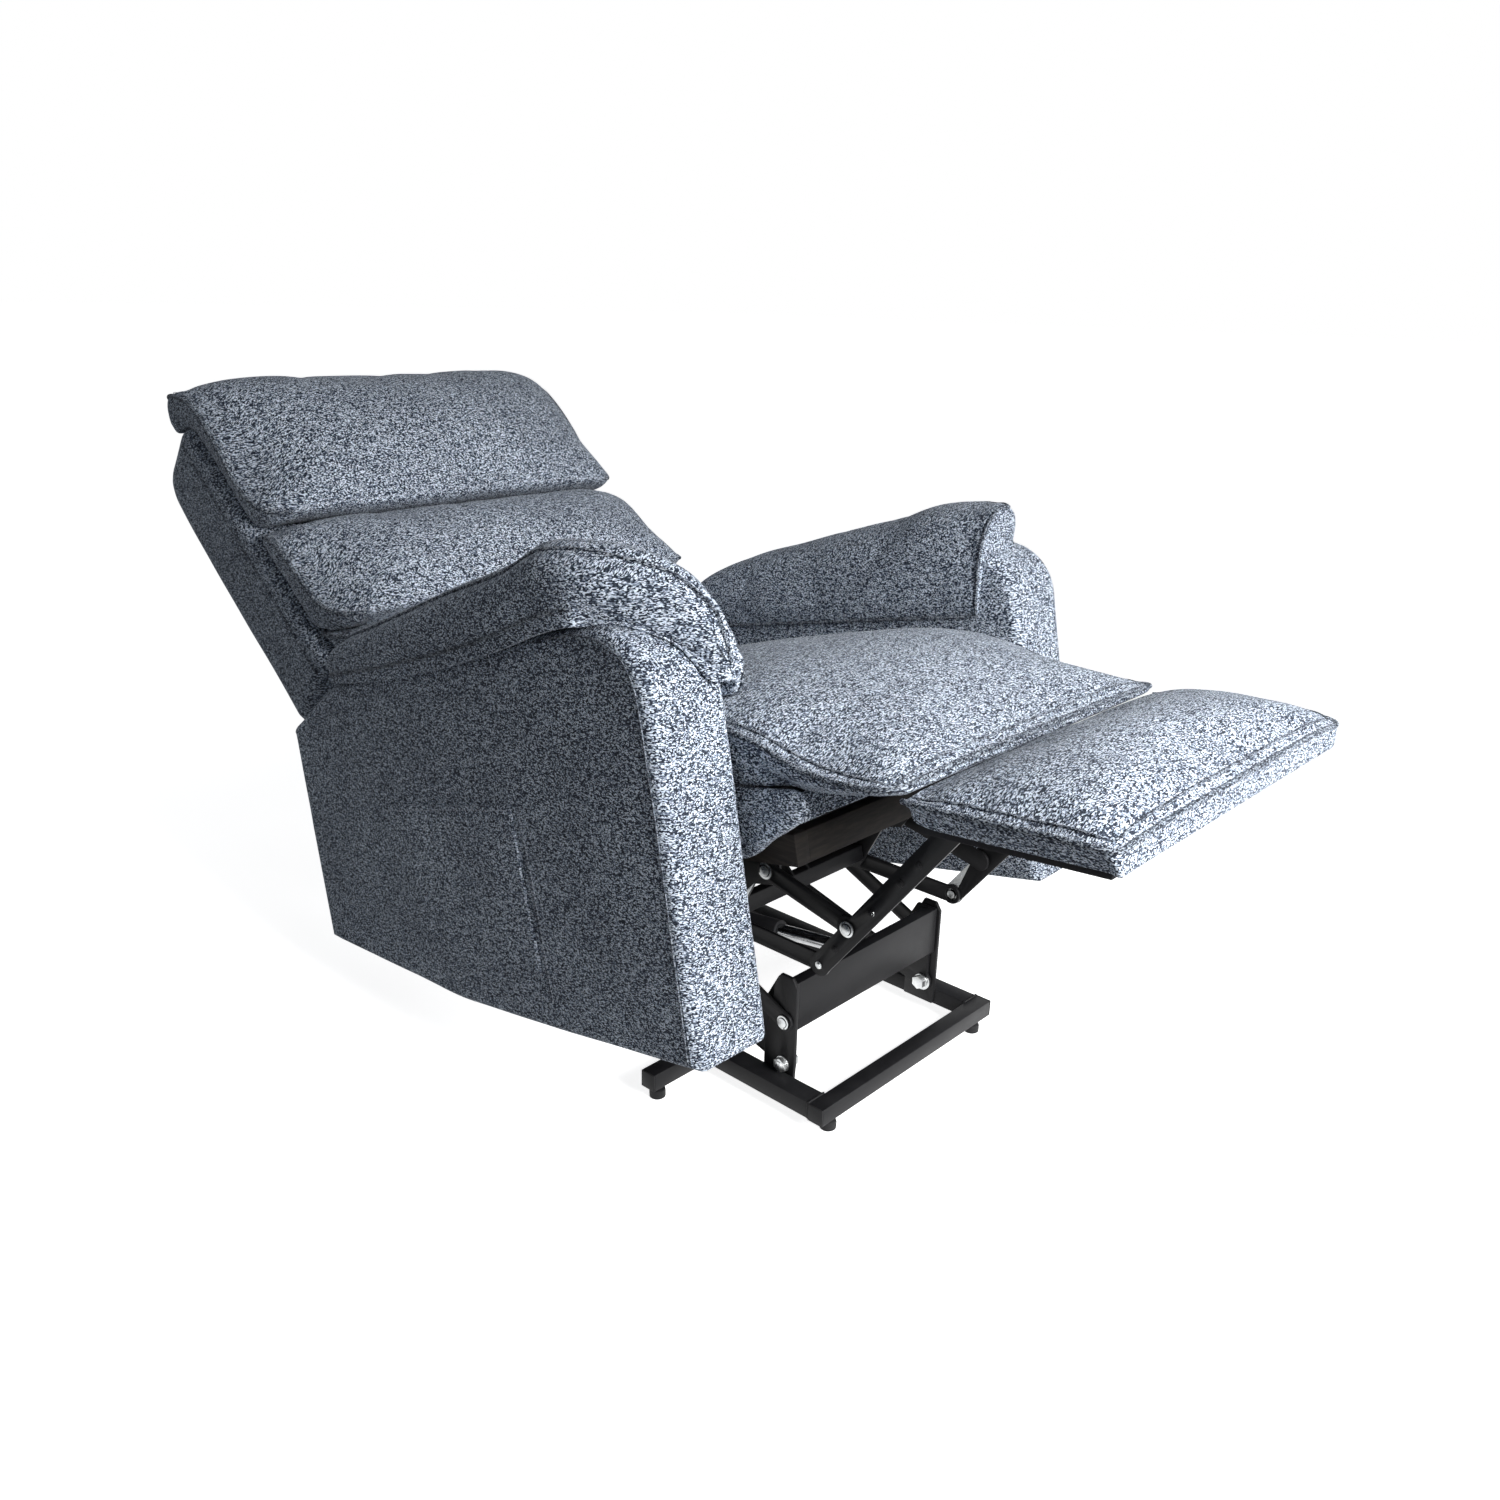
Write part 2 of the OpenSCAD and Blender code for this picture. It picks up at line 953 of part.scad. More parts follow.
module back_hinge_plates() {
  p = [
    lever_len * cos(lever_angle - back_angle),
    lever_len * sin(lever_angle - back_angle)
  ];
  color("#1a1b1e")
    in_box()
      in_back() {
        both_hands()
          plate(268, 5)
            hinge_plate_2d();
        plate(11, plate_t)
          lever_2d();
        plate(-11 - plate_t, plate_t)
          lever_2d();
        stud(p, 5, -15, 15);
      }
}

head_rows = [
  [446, back_half - 8, back_half - 14, 37, 38, 42, 50],
  [452, back_half - 3, back_half - 12, 18, 26, 34, 64],
  [466, back_half, back_half - 14, -10, 6, 24, 76],
  [486, back_half, back_half - 16, -36, -14, 14, 82],
  [510, back_half, back_half - 16, -39.7, -20, 6, 84],
  [550, back_half, back_half - 16, -39.7, -22, 2, 84],
  [600, back_half, back_half - 16, -39.7, -20, 9, 82],
  [650, back_half, back_half - 16, -39.7, -18, 12, 76],
  [690, back_half, back_half - 16, -39.7, -20, 10, 67],
  [722, back_half, back_half - 18, -44, -28, 0, 54],
  [748, back_half - 1, back_half - 20, -50, -38, -12, 36],
  [768, back_half - 3, back_half - 24, -52, -46, -28, 12],
  [780, back_half - 8, back_half - 30, -50, -46, -40, -22]
];

module headrest_cushion() {
  color("#59616d")
    in_box()
      in_back()
        cushion(head_rows, 6);
}

middle_rows = [
  [222, back_half - 8, back_half - 16, 71, 73, 76, 82],
  [228, back_half - 3, back_half - 14, 48, 58, 66, 92],
  [242, back_half, back_half - 16, 14, 30, 50, 98],
  [262, back_half, back_half - 18, -14, 8, 36, 98],
  [290, back_half, back_half - 18, -39.7, -12, 24, 94],
  [340, back_half, back_half - 18, -39.7, -16, 18, 86],
  [395, back_half, back_half - 18, -39.7, -18, 12, 72],
  [430, back_half - 2, back_half - 20, -39.7, -22, 2, 50],
  [445, back_half - 6, back_half - 24, -39.7, -26, -10, 30],
  [456, back_half - 14, back_half - 30, -39.7, -32, -20, 2],
  [470, back_half - 22, back_half - 36, -39.7, -37, -32, -20]
];

module middle_cushion() {
  color("#59616d")
    in_box()
      in_back()
        cushion(middle_rows, 6);
}

lumbar_rows = [
  [50, 262, 254, -39.7, -20, 6, 30],
  [60, 272, 262, -39.7, -14, 18, 56],
  [88, 277, 264, -39.7, -10, 28, 76],
  [130, 278, 264, -39.7, -8, 32, 82],
  [170, 278, 264, -39.7, -8, 34, 82],
  [205, 278, 264, -39.7, -8, 34, 76],
  [219, 278, 264, -39.7, -8, 34, 66],
  [226, 330, 316, -39.7, -12, 20, 46],
  [240, 332, 316, -39.7, -20, 0, 14],
  [258, 332, 316, -39.7, -28, -18, -11],
  [274, 326, 312, -39.7, -37, -34, -29]
];

module lumbar_cushion() {
  color("#59616d")
    in_box()
      in_back()
        cushion(lumbar_rows, 6);
}

// ---------- footrest ----------

module upper_link_2d() {
  difference() {
    bar_2d(foot_s1, foot_p1, bar_w);
    disc(foot_s1, stud_r + run_fit);
    disc(foot_p1, stud_r);
  }
}

module foot_upper_link_left() {
  color("#1d1e21")
    in_box() {
      plate(link_x, plate_t)
        upper_link_2d();
      stud(foot_p1, stud_r, link_x, bar_x + plate_t + 0.4);
      dome_head(foot_p1, 11, bar_x + plate_t + 0.4);
    }
}

module foot_upper_link_right() {
  right_hand()
    foot_upper_link_left();
}

module lower_link_2d() {
  difference() {
    union() {
      bar_2d(foot_s2, foot_p2, 26);
      disc(foot_p2, 14);
    }
    disc(foot_s2, stud_r + run_fit);
    disc(foot_p2, stud_r + 3);
  }
}

module foot_lower_link_left() {
  color("#1d1e21")
    in_box()
      plate(link_x, plate_t)
        lower_link_2d();
}

module foot_lower_link_right() {
  right_hand()
    foot_lower_link_left();
}

bar_dir = (foot_f - foot_p2) / norm(foot_f - foot_p2);

module foot_bar_2d() {
  difference() {
    union() {
      bar_2d(foot_p2, foot_f, bar_w + 2);
      disc(foot_p1, 17);
    }
    disc(foot_p1, stud_r + run_fit);
  }
}

module foot_bar_left() {
  color("#1d1e21")
    in_box() {
      plate(bar_x, plate_t)
        foot_bar_2d();
      stud(foot_p2, stud_r, link_x, bar_x);
      stud(foot_f, stud_r, bar_x + plate_t, bar_x + 2 * plate_t + 0.8);
      for (k = [0, 38, 124, 190, 228])
        dome_head(foot_p2 + k * bar_dir, 5, bar_x + plate_t);
    }
}

module foot_bar_right() {
  right_hand()
    foot_bar_left();
}

module rail_2d() {
  difference() {
    polygon([[-120, -14], [36, -14], [42, -8], [42, 24], [-150, 24], [-150, 12], [-132, -14]]);
    circle(stud_r + run_fit);
  }
}

module footrest_rail_left() {
  color("#1b1c1f")
    in_box()
      in_foot() {
        plate(bar_x + plate_t + 0.6, plate_t)
          rail_2d();
        translate([bar_x + plate_t + 0.6, -150, 20])
          cube([26, 192, 4]);
      }
}

module footrest_rail_right() {
  right_hand()
    footrest_rail_left();
}

module footrest_cross_bar() {
  half = bar_x + plate_t + 0.6;
  color("#1b1c1f")
    in_box()
      in_foot()
        translate([-half, -118, 0])
          difference() {
            cube([2 * half, 22, 24]);
            translate([-1, 3, -1])
              cube([2 * half + 2, 16, 22]);
          }
}

module footrest_board() {
  color("#2b2723")
    in_box()
      in_foot()
        translate([24 - foot_half, 12 - foot_len - 8, 24])
          cube([2 * foot_half - 48, foot_len - 24, 21.7]);
}

foot_rows = [
  [-foot_len - 8, foot_half - 12, foot_half - 22, 52, 56, 60, 66],
  [-foot_len, foot_half - 4, foot_half - 18, 47, 54, 61, 81],
  [-foot_len + 16, foot_half, foot_half - 16, 46, 54, 62, 92],
  [-foot_len + 48, foot_half, foot_half - 16, 46, 54, 63, 98],
  [-foot_len * 0.55, foot_half, foot_half - 16, 46, 54, 63, 99],
  [-foot_len * 0.35, foot_half, foot_half - 16, 46, 54, 63, 95],
  [-foot_len * 0.2, foot_half, foot_half - 16, 46, 54, 63, 88],
  [-foot_len * 0.11, foot_half - 1, foot_half - 18, 47, 55, 63, 77],
  [-foot_len * 0.055, foot_half - 6, foot_half - 22, 50, 56, 62, 67]
];

module footrest_pad() {
  color("#616a76")
    in_box()
      in_foot()
        cushion(foot_rows, 6);
}

// ---------- all nodes ----------

in_frame() {
  base_front_tube();
  base_side_rail_left();
  base_side_rail_right();
  base_rear_tube();
  outrigger_left();
  outrigger_right();
  tube_end_caps();
  glide_feet();
  base_bracket_left();
  base_bracket_right();
  front_pivot_bolts();
  lift_arm_left();
  lift_arm_right();
  front_cross_member();
  lift_link_left();
  lift_link_right();
  lift_motor();
  lift_rod();
  carriage_plate_left();
  carriage_plate_right();
  carriage_torque_tube();
  carriage_cross_tube();
  arm_stubs();
  arm_panel_left();
  arm_panel_right();
  arm_pad_left();
  arm_pad_right();
  side_pocket();
  swing_front_left();
  swing_front_right();
  swing_rear_left();
  swing_rear_right();
  seat_plate_left();
  seat_plate_right();
  seat_cross_tube();
  seat_cross_rails();
  seat_frame();
  seat_webbing();
  seat_box_cover();
  seat_cushion();
  recline_motor();
  recline_rod();
  back_shell();
  back_hinge_plates();
  headrest_cushion();
  middle_cushion();
  lumbar_cushion();
  foot_upper_link_left();
  foot_upper_link_right();
  foot_lower_link_left();
  foot_lower_link_right();
  foot_bar_left();
  foot_bar_right();
  footrest_rail_left();
  footrest_rail_right();
  footrest_cross_bar();
  footrest_board();
  footrest_pad();
}
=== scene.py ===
# %% [markdown]
# # A lift recliner chair
# The chair has a black steel linkage under soft, flecked upholstery. The steel keeps the shapes of
# the engineering model and only gets softened edges and real finishes. The upholstery is built
# again from the same numbers, but with many more points, so that it can puff, sag and pucker.
# Lengths in the tables below are millimetres in the seat box's own tilted axes; Blender gets metres.

# %% Load the engineering model
import json
import math

import bmesh
import bpy
import numpy as np
from mathutils import Matrix, Vector, noise

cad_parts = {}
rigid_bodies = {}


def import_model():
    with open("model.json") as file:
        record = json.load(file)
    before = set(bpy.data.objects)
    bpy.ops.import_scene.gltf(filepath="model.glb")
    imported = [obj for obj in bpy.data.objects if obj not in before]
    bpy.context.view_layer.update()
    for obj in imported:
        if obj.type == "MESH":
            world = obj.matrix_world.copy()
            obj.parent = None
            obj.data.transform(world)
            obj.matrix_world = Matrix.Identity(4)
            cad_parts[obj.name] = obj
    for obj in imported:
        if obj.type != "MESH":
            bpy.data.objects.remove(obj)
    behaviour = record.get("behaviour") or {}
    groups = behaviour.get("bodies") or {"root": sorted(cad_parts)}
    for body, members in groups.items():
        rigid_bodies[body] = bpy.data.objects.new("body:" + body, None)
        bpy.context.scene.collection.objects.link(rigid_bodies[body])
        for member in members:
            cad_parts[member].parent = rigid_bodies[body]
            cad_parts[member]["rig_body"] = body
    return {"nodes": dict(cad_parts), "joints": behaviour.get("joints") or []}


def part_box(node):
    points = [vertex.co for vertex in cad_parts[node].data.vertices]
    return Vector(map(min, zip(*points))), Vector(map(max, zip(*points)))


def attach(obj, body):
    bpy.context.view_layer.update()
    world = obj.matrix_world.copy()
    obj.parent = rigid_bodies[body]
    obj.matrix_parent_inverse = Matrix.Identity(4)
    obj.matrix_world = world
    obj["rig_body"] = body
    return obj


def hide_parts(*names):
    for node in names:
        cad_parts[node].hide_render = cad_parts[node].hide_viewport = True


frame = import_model()
nodes = frame["nodes"]
scene = bpy.context.scene
body_of = {name: node["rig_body"] for name, node in nodes.items()}
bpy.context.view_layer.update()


def add_object(name, data):
    made = bpy.data.objects.new(name, data)
    scene.collection.objects.link(made)
    return made


# %% [markdown]
# ## Where things sit
# Three sets of axes are used: the seat box leans back 12 degrees, the back turns on its hinge, and
# the footrest has a pitch of its own. Each helper takes (x, along, up) points in one of these and
# returns metres in the room, so a cushion can be drawn flat and still land in its place.

# %% Axes of the seat box, the back and the footrest
PITCH = math.radians(12)
BACK_ANGLE = math.radians(51.6)
FOOT_PITCH = math.radians(7)
BACK_PIVOT = (600, 300)
FOOT_PIVOT = (-190, 232)
BOX_HEIGHT = 195
FRAME_SHIFT = 471


def turned(points, angle, origin):
    p = np.asarray(points, float)
    along = origin[0] + p[..., 1] * math.cos(angle) - p[..., 2] * math.sin(angle)
    up = origin[1] + p[..., 1] * math.sin(angle) + p[..., 2] * math.cos(angle)
    return np.stack([p[..., 0], along, up], -1)


def in_room(points):
    return (np.asarray(points, float) - [0, FRAME_SHIFT, 0]) / 1000


def in_box(points):
    return in_room(turned(points, -PITCH, (0, BOX_HEIGHT)))


def in_back(points):
    return in_box(turned(points, BACK_ANGLE, BACK_PIVOT))


def in_foot(points):
    return in_box(turned(points, FOOT_PITCH, FOOT_PIVOT))


print("back hinge in the room", in_back([[0, 0, 0]])[0].round(3))

# %% [markdown]
# ## Camera
# The picture is square and taken from the chair's front right corner, a little above the arms.

# %% Camera
camera_data = bpy.data.cameras.new("camera")
camera_data.lens = 31.01
camera_data.sensor_width = 36
camera_data.clip_end = 200
camera = add_object("camera", camera_data)
right = Vector((0.678734, -0.733942, 0.025472))
up = Vector((0.226709, 0.242395, 0.943317))
turn = Matrix((right, up, right.cross(up))).transposed().to_4x4()
camera.matrix_world = Matrix.Translation((-1.27869, -1.31937, 1.00136)) @ turn
scene.camera = camera
print("camera height", round(camera.location.z, 3))

# %% [markdown]
# ## Light and floor
# One soft light stands close in front of the footrest, so the faces that look forward are bright,
# the back falls off into shade and the side of the near arm stays dark. The floor takes the shadow.
# To the camera it also glows a little, so that it reads as white paper without more light falling
# on the chair.

# %% Light and floor
scene.view_settings.view_transform = "Standard"
FLOOR_REACH = 60


def set_inputs(tree, node, inputs):
    """Sets each input to a value, or wires it to another node's output."""
    for key, value in inputs.items():
        if isinstance(value, bpy.types.NodeSocket):
            tree.links.new(value, node.inputs[key])
        else:
            node.inputs[key].default_value = value


def add_node(tree, kind, inputs=None, **settings):
    made = tree.nodes.new(kind)
    for key, value in settings.items():
        setattr(made, key, value)
    set_inputs(tree, made, inputs or {})
    return made


def area_light(name, place, target, size, power, spread=180):
    light = bpy.data.lights.new(name, "AREA")
    light.shape = "DISK"
    light.size = size
    light.energy = power
    light.spread = math.radians(spread)
    lamp = add_object(name, light)
    lamp.location = place
    lamp.rotation_mode = "QUATERNION"
    aim = Vector(target) - Vector(place)
    lamp.rotation_quaternion = aim.to_track_quat("-Z", "Y")


def seen_directly(tree):
    """1 where the camera looks, straight or by a mirror, and 0 for the light on the chair."""
    rays = add_node(tree, "ShaderNodeLightPath").outputs
    either = {0: rays["Is Camera Ray"], 1: rays["Is Glossy Ray"]}
    return add_node(tree, "ShaderNodeMath", either, operation="MAXIMUM").outputs[0]


def mixed(tree, unseen, seen):
    choice = {0: seen_directly(tree), 1: unseen.outputs[0], 2: seen.outputs[0]}
    return add_node(tree, "ShaderNodeMixShader", choice).outputs[0]


def floor_material():
    material = bpy.data.materials.new("floor_paper")
    material.use_nodes = True
    tree = material.node_tree
    tree.nodes.clear()
    bounce = add_node(tree, "ShaderNodeBsdfDiffuse", {"Color": (0.42, 0.42, 0.42, 1)})
    lit = add_node(tree, "ShaderNodeBsdfDiffuse", {"Color": (0.86, 0.86, 0.86, 1)})
    glow = add_node(tree, "ShaderNodeEmission", {"Strength": 0.855})
    bright = add_node(tree, "ShaderNodeAddShader", {0: lit.outputs[0], 1: glow.outputs[0]})
    add_node(tree, "ShaderNodeOutputMaterial", {"Surface": mixed(tree, bounce, bright)})
    return material


area_light("key_light", (-0.15, -2.1, 1.18), (0, -0.68, 0.38), 1.1, 20.5, 86)
area_light("top_light", (0.2, -1.2, 3.2), (0, -0.5, 0.5), 2.2, 9)

world = bpy.data.worlds.new("studio")
scene.world = world
world.use_nodes = True
sky = world.node_tree
sky.nodes.clear()
room_glow = add_node(sky, "ShaderNodeBackground", {"Color": (0.93, 0.96, 1.0, 1), "Strength": 0.19})
paper = add_node(sky, "ShaderNodeBackground", {"Color": (1, 1, 1, 1), "Strength": 1.0})
add_node(sky, "ShaderNodeOutputWorld", {"Surface": mixed(sky, room_glow, paper)})

floor_mesh = bpy.data.meshes.new("floor")
corners = [(x * FLOOR_REACH, y * FLOOR_REACH, 0) for x, y in ((-1, -1), (1, -1), (1, 1), (-1, 1))]
floor_mesh.from_pydata(corners, [], [(0, 1, 2, 3)])
floor_mesh.materials.append(floor_material())
add_object("floor", floor_mesh)
print("two lamps and a floor")

# %% [markdown]
# ## Building surfaces
# Every soft piece here is a run of rings, each ring with four sides. Because the sides are known,
# the two ends can be closed with a tidy grid as well. An all-quad skin like this bends and puffs
# evenly, which a triangulated one wouldn't.

# %% Rings into a closed skin


def eased(x, y, at):
    """Values between the rows of a table, smooth and without overshoot."""
    x, y, at = np.asarray(x, float), np.asarray(y, float), np.asarray(at, float)
    step = np.diff(x)
    rise = np.diff(y, axis=0) / step[:, None]
    slope = np.zeros_like(y)
    slope[0], slope[-1] = rise[0], rise[-1]
    for i in range(1, len(x) - 1):
        w1, w2 = 2 * step[i] + step[i - 1], step[i] + 2 * step[i - 1]
        same = rise[i - 1] * rise[i] > 0
        safe_a = np.where(same, rise[i - 1], 1.0)
        safe_b = np.where(same, rise[i], 1.0)
        slope[i] = np.where(same, (w1 + w2) / (w1 / safe_a + w2 / safe_b), 0.0)
    i = np.clip(np.searchsorted(x, at, side="right") - 1, 0, len(x) - 2)
    t = ((at - x[i]) / step[i])[:, None]
    h = step[i][:, None]
    a, b, c, d = y[i], y[i + 1], slope[i] * h, slope[i + 1] * h
    starting = a * (2 * t**3 - 3 * t**2 + 1) + c * (t**3 - 2 * t**2 + t)
    return starting + b * (3 * t**2 - 2 * t**3) + d * (t**3 - t**2)


def lengths_along(points):
    return np.concatenate([[0], np.cumsum(np.linalg.norm(np.diff(points, axis=0), axis=1))])


def resampled(path, count):
    """The path again, as count points at even distances."""
    path = np.asarray(path, float)
    run = lengths_along(path)
    at = np.linspace(0, run[-1], count)
    return np.stack([np.interp(at, run, path[:, c]) for c in range(path.shape[1])], -1)


def stations(rows, step):
    """The table's rows, sampled about every step millimetres of surface."""
    rows = np.array(rows, float)
    run = np.concatenate([[0], np.cumsum(np.hypot(np.diff(rows[:, 0]), np.diff(rows[:, -1])))])
    count = max(4, int(round(run[-1] / step)))
    return eased(run, rows, np.linspace(0, run[-1], count + 1))


def patch(ring, a, b):
    """Fills a ring of a, b, a and b steps with a grid of points."""
    first = ring[: a + 1]
    right_side = ring[a : a + b + 1]
    last = ring[a + b : 2 * a + b + 1][::-1]
    left_side = np.vstack([ring[2 * a + b :], ring[:1]])[::-1]
    u = np.linspace(0, 1, a + 1)[:, None, None]
    v = np.linspace(0, 1, b + 1)[None, :, None]
    ruled = (1 - v) * first[:, None] + v * last[:, None]
    ruled = ruled + (1 - u) * left_side[None] + u * right_side[None]
    corners = (1 - u) * (1 - v) * first[0] + u * (1 - v) * first[-1]
    return ruled - (corners + (1 - u) * v * last[0] + u * v * last[-1])


def tube_faces(count, n, start=0):
    """Quads between count rings of n points each."""
    faces = []
    for ring in range(start, start + (count - 1) * n, n):
        for j in range(n):
            k = (j + 1) % n
            faces.append((ring + j, ring + k, ring + n + k, ring + n + j))
    return faces


def skin(rings, a, b):
    """Points and faces of a closed skin over equal rings of a, b, a and b steps."""
    rings = np.asarray(rings, float)
    count, n = rings.shape[:2]
    points = list(rings.reshape(-1, 3))
    faces = tube_faces(count, n)
    for end in (0, count - 1):
        base = end * n
        inner = patch(rings[end], a, b)[1:-1, 1:-1]
        index = np.zeros((a + 1, b + 1), int)
        index[1:-1, 1:-1] = len(points) + np.arange((a - 1) * (b - 1)).reshape(a - 1, b - 1)
        index[0] = base + (2 * a + 2 * b - np.arange(b + 1)) % n
        index[:, b] = base + 2 * a + b - np.arange(a + 1)
        index[a] = base + a + np.arange(b + 1)
        index[:, 0] = base + np.arange(a + 1)
        points += list(inner.reshape(-1, 3))
        for i in range(a):
            for j in range(b):
                faces.append((index[i, j], index[i + 1, j], index[i + 1, j + 1], index[i, j + 1]))
    return np.array(points), faces


def weave_map(mesh):
    """A flat map in metres, laid on each face from the side it looks to, for the weave."""
    layer = mesh.uv_layers.new(name="weave")
    for face in mesh.polygons:
        normal = [abs(c) for c in face.normal]
        axis = normal.index(max(normal))
        keep = [c for c in range(3) if c != axis]
        for loop in face.loop_indices:
            co = mesh.vertices[mesh.loops[loop].vertex_index].co
            layer.data[loop].uv = (co[keep[0]], co[keep[1]])


def make_object(name, points, faces, material):
    mesh = bpy.data.meshes.new(name)
    mesh.from_pydata([tuple(p) for p in points], [], [tuple(int(i) for i in f) for f in faces])
    solid = bmesh.new()
    solid.from_mesh(mesh)
    bmesh.ops.recalc_face_normals(solid, faces=solid.faces)
    solid.to_mesh(mesh)
    solid.free()
    mesh.materials.append(material)
    mesh.shade_smooth()
    return add_object(name, mesh)


def mirrored(obj, name):
    """A left-hand copy of a right-hand piece, with its faces turned back outward."""
    mesh = obj.data.copy()
    mesh.name = name
    mesh.transform(Matrix.Scale(-1, 4, (1, 0, 0)))
    mesh.flip_normals()
    return add_object(name, mesh)


print("skin helpers ready")

# %% [markdown]
# ## Fabric
# The cover is a chenille of dark slate yarn with pale grey-blue flecks. Each cell of a Voronoi
# pattern is one tuft with a shade of its own. The cells are bent a little by noise and drawn out
# along a diagonal, because the yarn lies that way. A second noise varies the tufts and a slow one
# makes the pile look brushed. The flecks drive the bump too, so that pale ones stand up, and a
# little sheen gives the soft bright edge that a pile has.

# %% Fabric material


def new_material(name):
    material = bpy.data.materials.new(name)
    material.use_nodes = True
    tree = material.node_tree
    return material, tree, tree.nodes["Principled BSDF"]


def ramp(tree, source, stops):
    made = add_node(tree, "ShaderNodeValToRGB", {"Fac": source})
    while len(made.color_ramp.elements) < len(stops):
        made.color_ramp.elements.new(0.5)
    for element, (place, colour) in zip(made.color_ramp.elements, stops):
        element.position = place
        element.color = (*colour, 1)
    return made.outputs["Color"]


def noise_outputs(tree, vector, scale, detail=2.0, rough=0.5):
    values = {"Vector": vector, "Scale": scale, "Detail": detail, "Roughness": rough}
    return add_node(tree, "ShaderNodeTexNoise", values).outputs


def bump(tree, height, strength, depth):
    values = {"Height": height, "Strength": strength, "Distance": depth}
    return add_node(tree, "ShaderNodeBump", values).outputs["Normal"]


def fabric_material(name, lift=1.0):
    """Flecked chenille; a lift below 1 darkens all its shades, painting shade into it."""
    material, tree, shader = new_material(name)
    flat = add_node(tree, "ShaderNodeUVMap", uv_map="weave").outputs["UV"]
    diagonal = {"Vector": flat, "Rotation": (0, 0, math.radians(38)), "Scale": (1.0, 1.9, 1.0)}
    slant = add_node(tree, "ShaderNodeMapping", diagonal).outputs["Vector"]
    wander = noise_outputs(tree, slant, 500, 1.0)["Color"]
    bend = {0: wander, 1: (0.0008, 0.0008, 0.0008), 2: slant}
    bent = add_node(tree, "ShaderNodeVectorMath", bend, operation="MULTIPLY_ADD").outputs["Vector"]
    cell_size = {"Vector": bent, "Scale": 520}
    cells = add_node(tree, "ShaderNodeTexVoronoi", cell_size, voronoi_dimensions="2D")
    tuft = add_node(tree, "ShaderNodeSeparateColor", {"Color": cells.outputs["Color"]})
    yarn = noise_outputs(tree, slant, 330, 2.0, 0.6)["Fac"]
    mix = {"Factor": 0.30, "A": tuft.outputs["Red"], "B": yarn}
    fleck = add_node(tree, "ShaderNodeMix", mix, data_type="FLOAT").outputs["Result"]
    shades = (
        (0.37, (0.017, 0.022, 0.034)),
        (0.50, (0.086, 0.108, 0.150)),
        (0.61, (0.325, 0.388, 0.485)),
        (0.73, (0.780, 0.860, 0.960)),
    )
    shade = ramp(tree, fleck, [(at, [lift * c for c in colour]) for at, colour in shades])
    place = add_node(tree, "ShaderNodeTexCoord").outputs["Object"]
    brushed = noise_outputs(tree, place, 9, 3.0, 0.55)["Fac"]
    tone = ramp(tree, brushed, [(0.30, (0.80, 0.80, 0.81)), (0.70, (1.0, 1.0, 1.0))])
    mix = {"Factor": 1.0, "A": shade, "B": tone}
    worn = add_node(tree, "ShaderNodeMix", mix, data_type="RGBA", blend_type="MULTIPLY")
    pile = {
        "Base Color": worn.outputs["Result"],
        "Normal": bump(tree, fleck, 0.45, 0.0011),
        "Roughness": 0.92,
        "Specular IOR Level": 0.18,
        "Sheen Weight": 0.10,
        "Sheen Roughness": 0.45,
        "Sheen Tint": (0.84, 0.88, 0.95, 1),
    }
    set_inputs(tree, shader, pile)
    return material


fabric = fabric_material("flecked_chenille")
# The seam copy at half brightness is painted shade: the dark creases that run beside each welt.
seam_fabric_painted_shade = fabric_material("seam_chenille_painted_shade", 0.50)
print("two fabrics")

# %% [markdown]
# ## Steel, zinc, plastic, wood and thread
# Powder-coated steel has a fine orange-peel skin and a satin gloss that varies a little. Zinc is
# bright but cloudy. The frame boards are stained nearly black, and the underside wears a dust cloth.

# %% Hard materials


def hard_material(name, shades, rough, grain, rise, metallic=0.0, depth=0.0002, cloud_scale=14):
    """Clouds of two shades, from the first gloss to the second, under a fine grain."""
    material, tree, shader = new_material(name)
    place = add_node(tree, "ShaderNodeTexCoord").outputs["Object"]
    cloud = noise_outputs(tree, place, cloud_scale, 4.0, 0.6)["Fac"]
    span = {"Value": cloud, "From Min": 0.3, "From Max": 0.7, "To Min": rough[0], "To Max": rough[1]}
    surface = {
        "Base Color": ramp(tree, cloud, [(0.35, shades[0]), (0.68, shades[1])]),
        "Roughness": add_node(tree, "ShaderNodeMapRange", span).outputs["Result"],
        "Normal": bump(tree, noise_outputs(tree, place, grain)["Fac"], rise, depth),
        "Metallic": metallic,
        "Specular IOR Level": 0.5 if metallic else 0.18,
    }
    set_inputs(tree, shader, surface)
    return material


def wood_material(name, shades):
    material, tree, shader = new_material(name)
    place = add_node(tree, "ShaderNodeTexCoord").outputs["Object"]
    long_grain = add_node(tree, "ShaderNodeMapping", {"Vector": place, "Scale": (2.0, 1.0, 14.0)})
    rings = noise_outputs(tree, long_grain.outputs["Vector"], 16, 6.0, 0.62)["Fac"]
    surface = {
        "Base Color": ramp(tree, rings, list(zip((0.35, 0.5, 0.66), shades))),
        "Normal": bump(tree, rings, 0.25, 0.0004),
        "Roughness": 0.62,
        "Specular IOR Level": 0.15,
    }
    set_inputs(tree, shader, surface)
    return material


def grey(level, blue=0.001):
    return (level, level, level + blue)


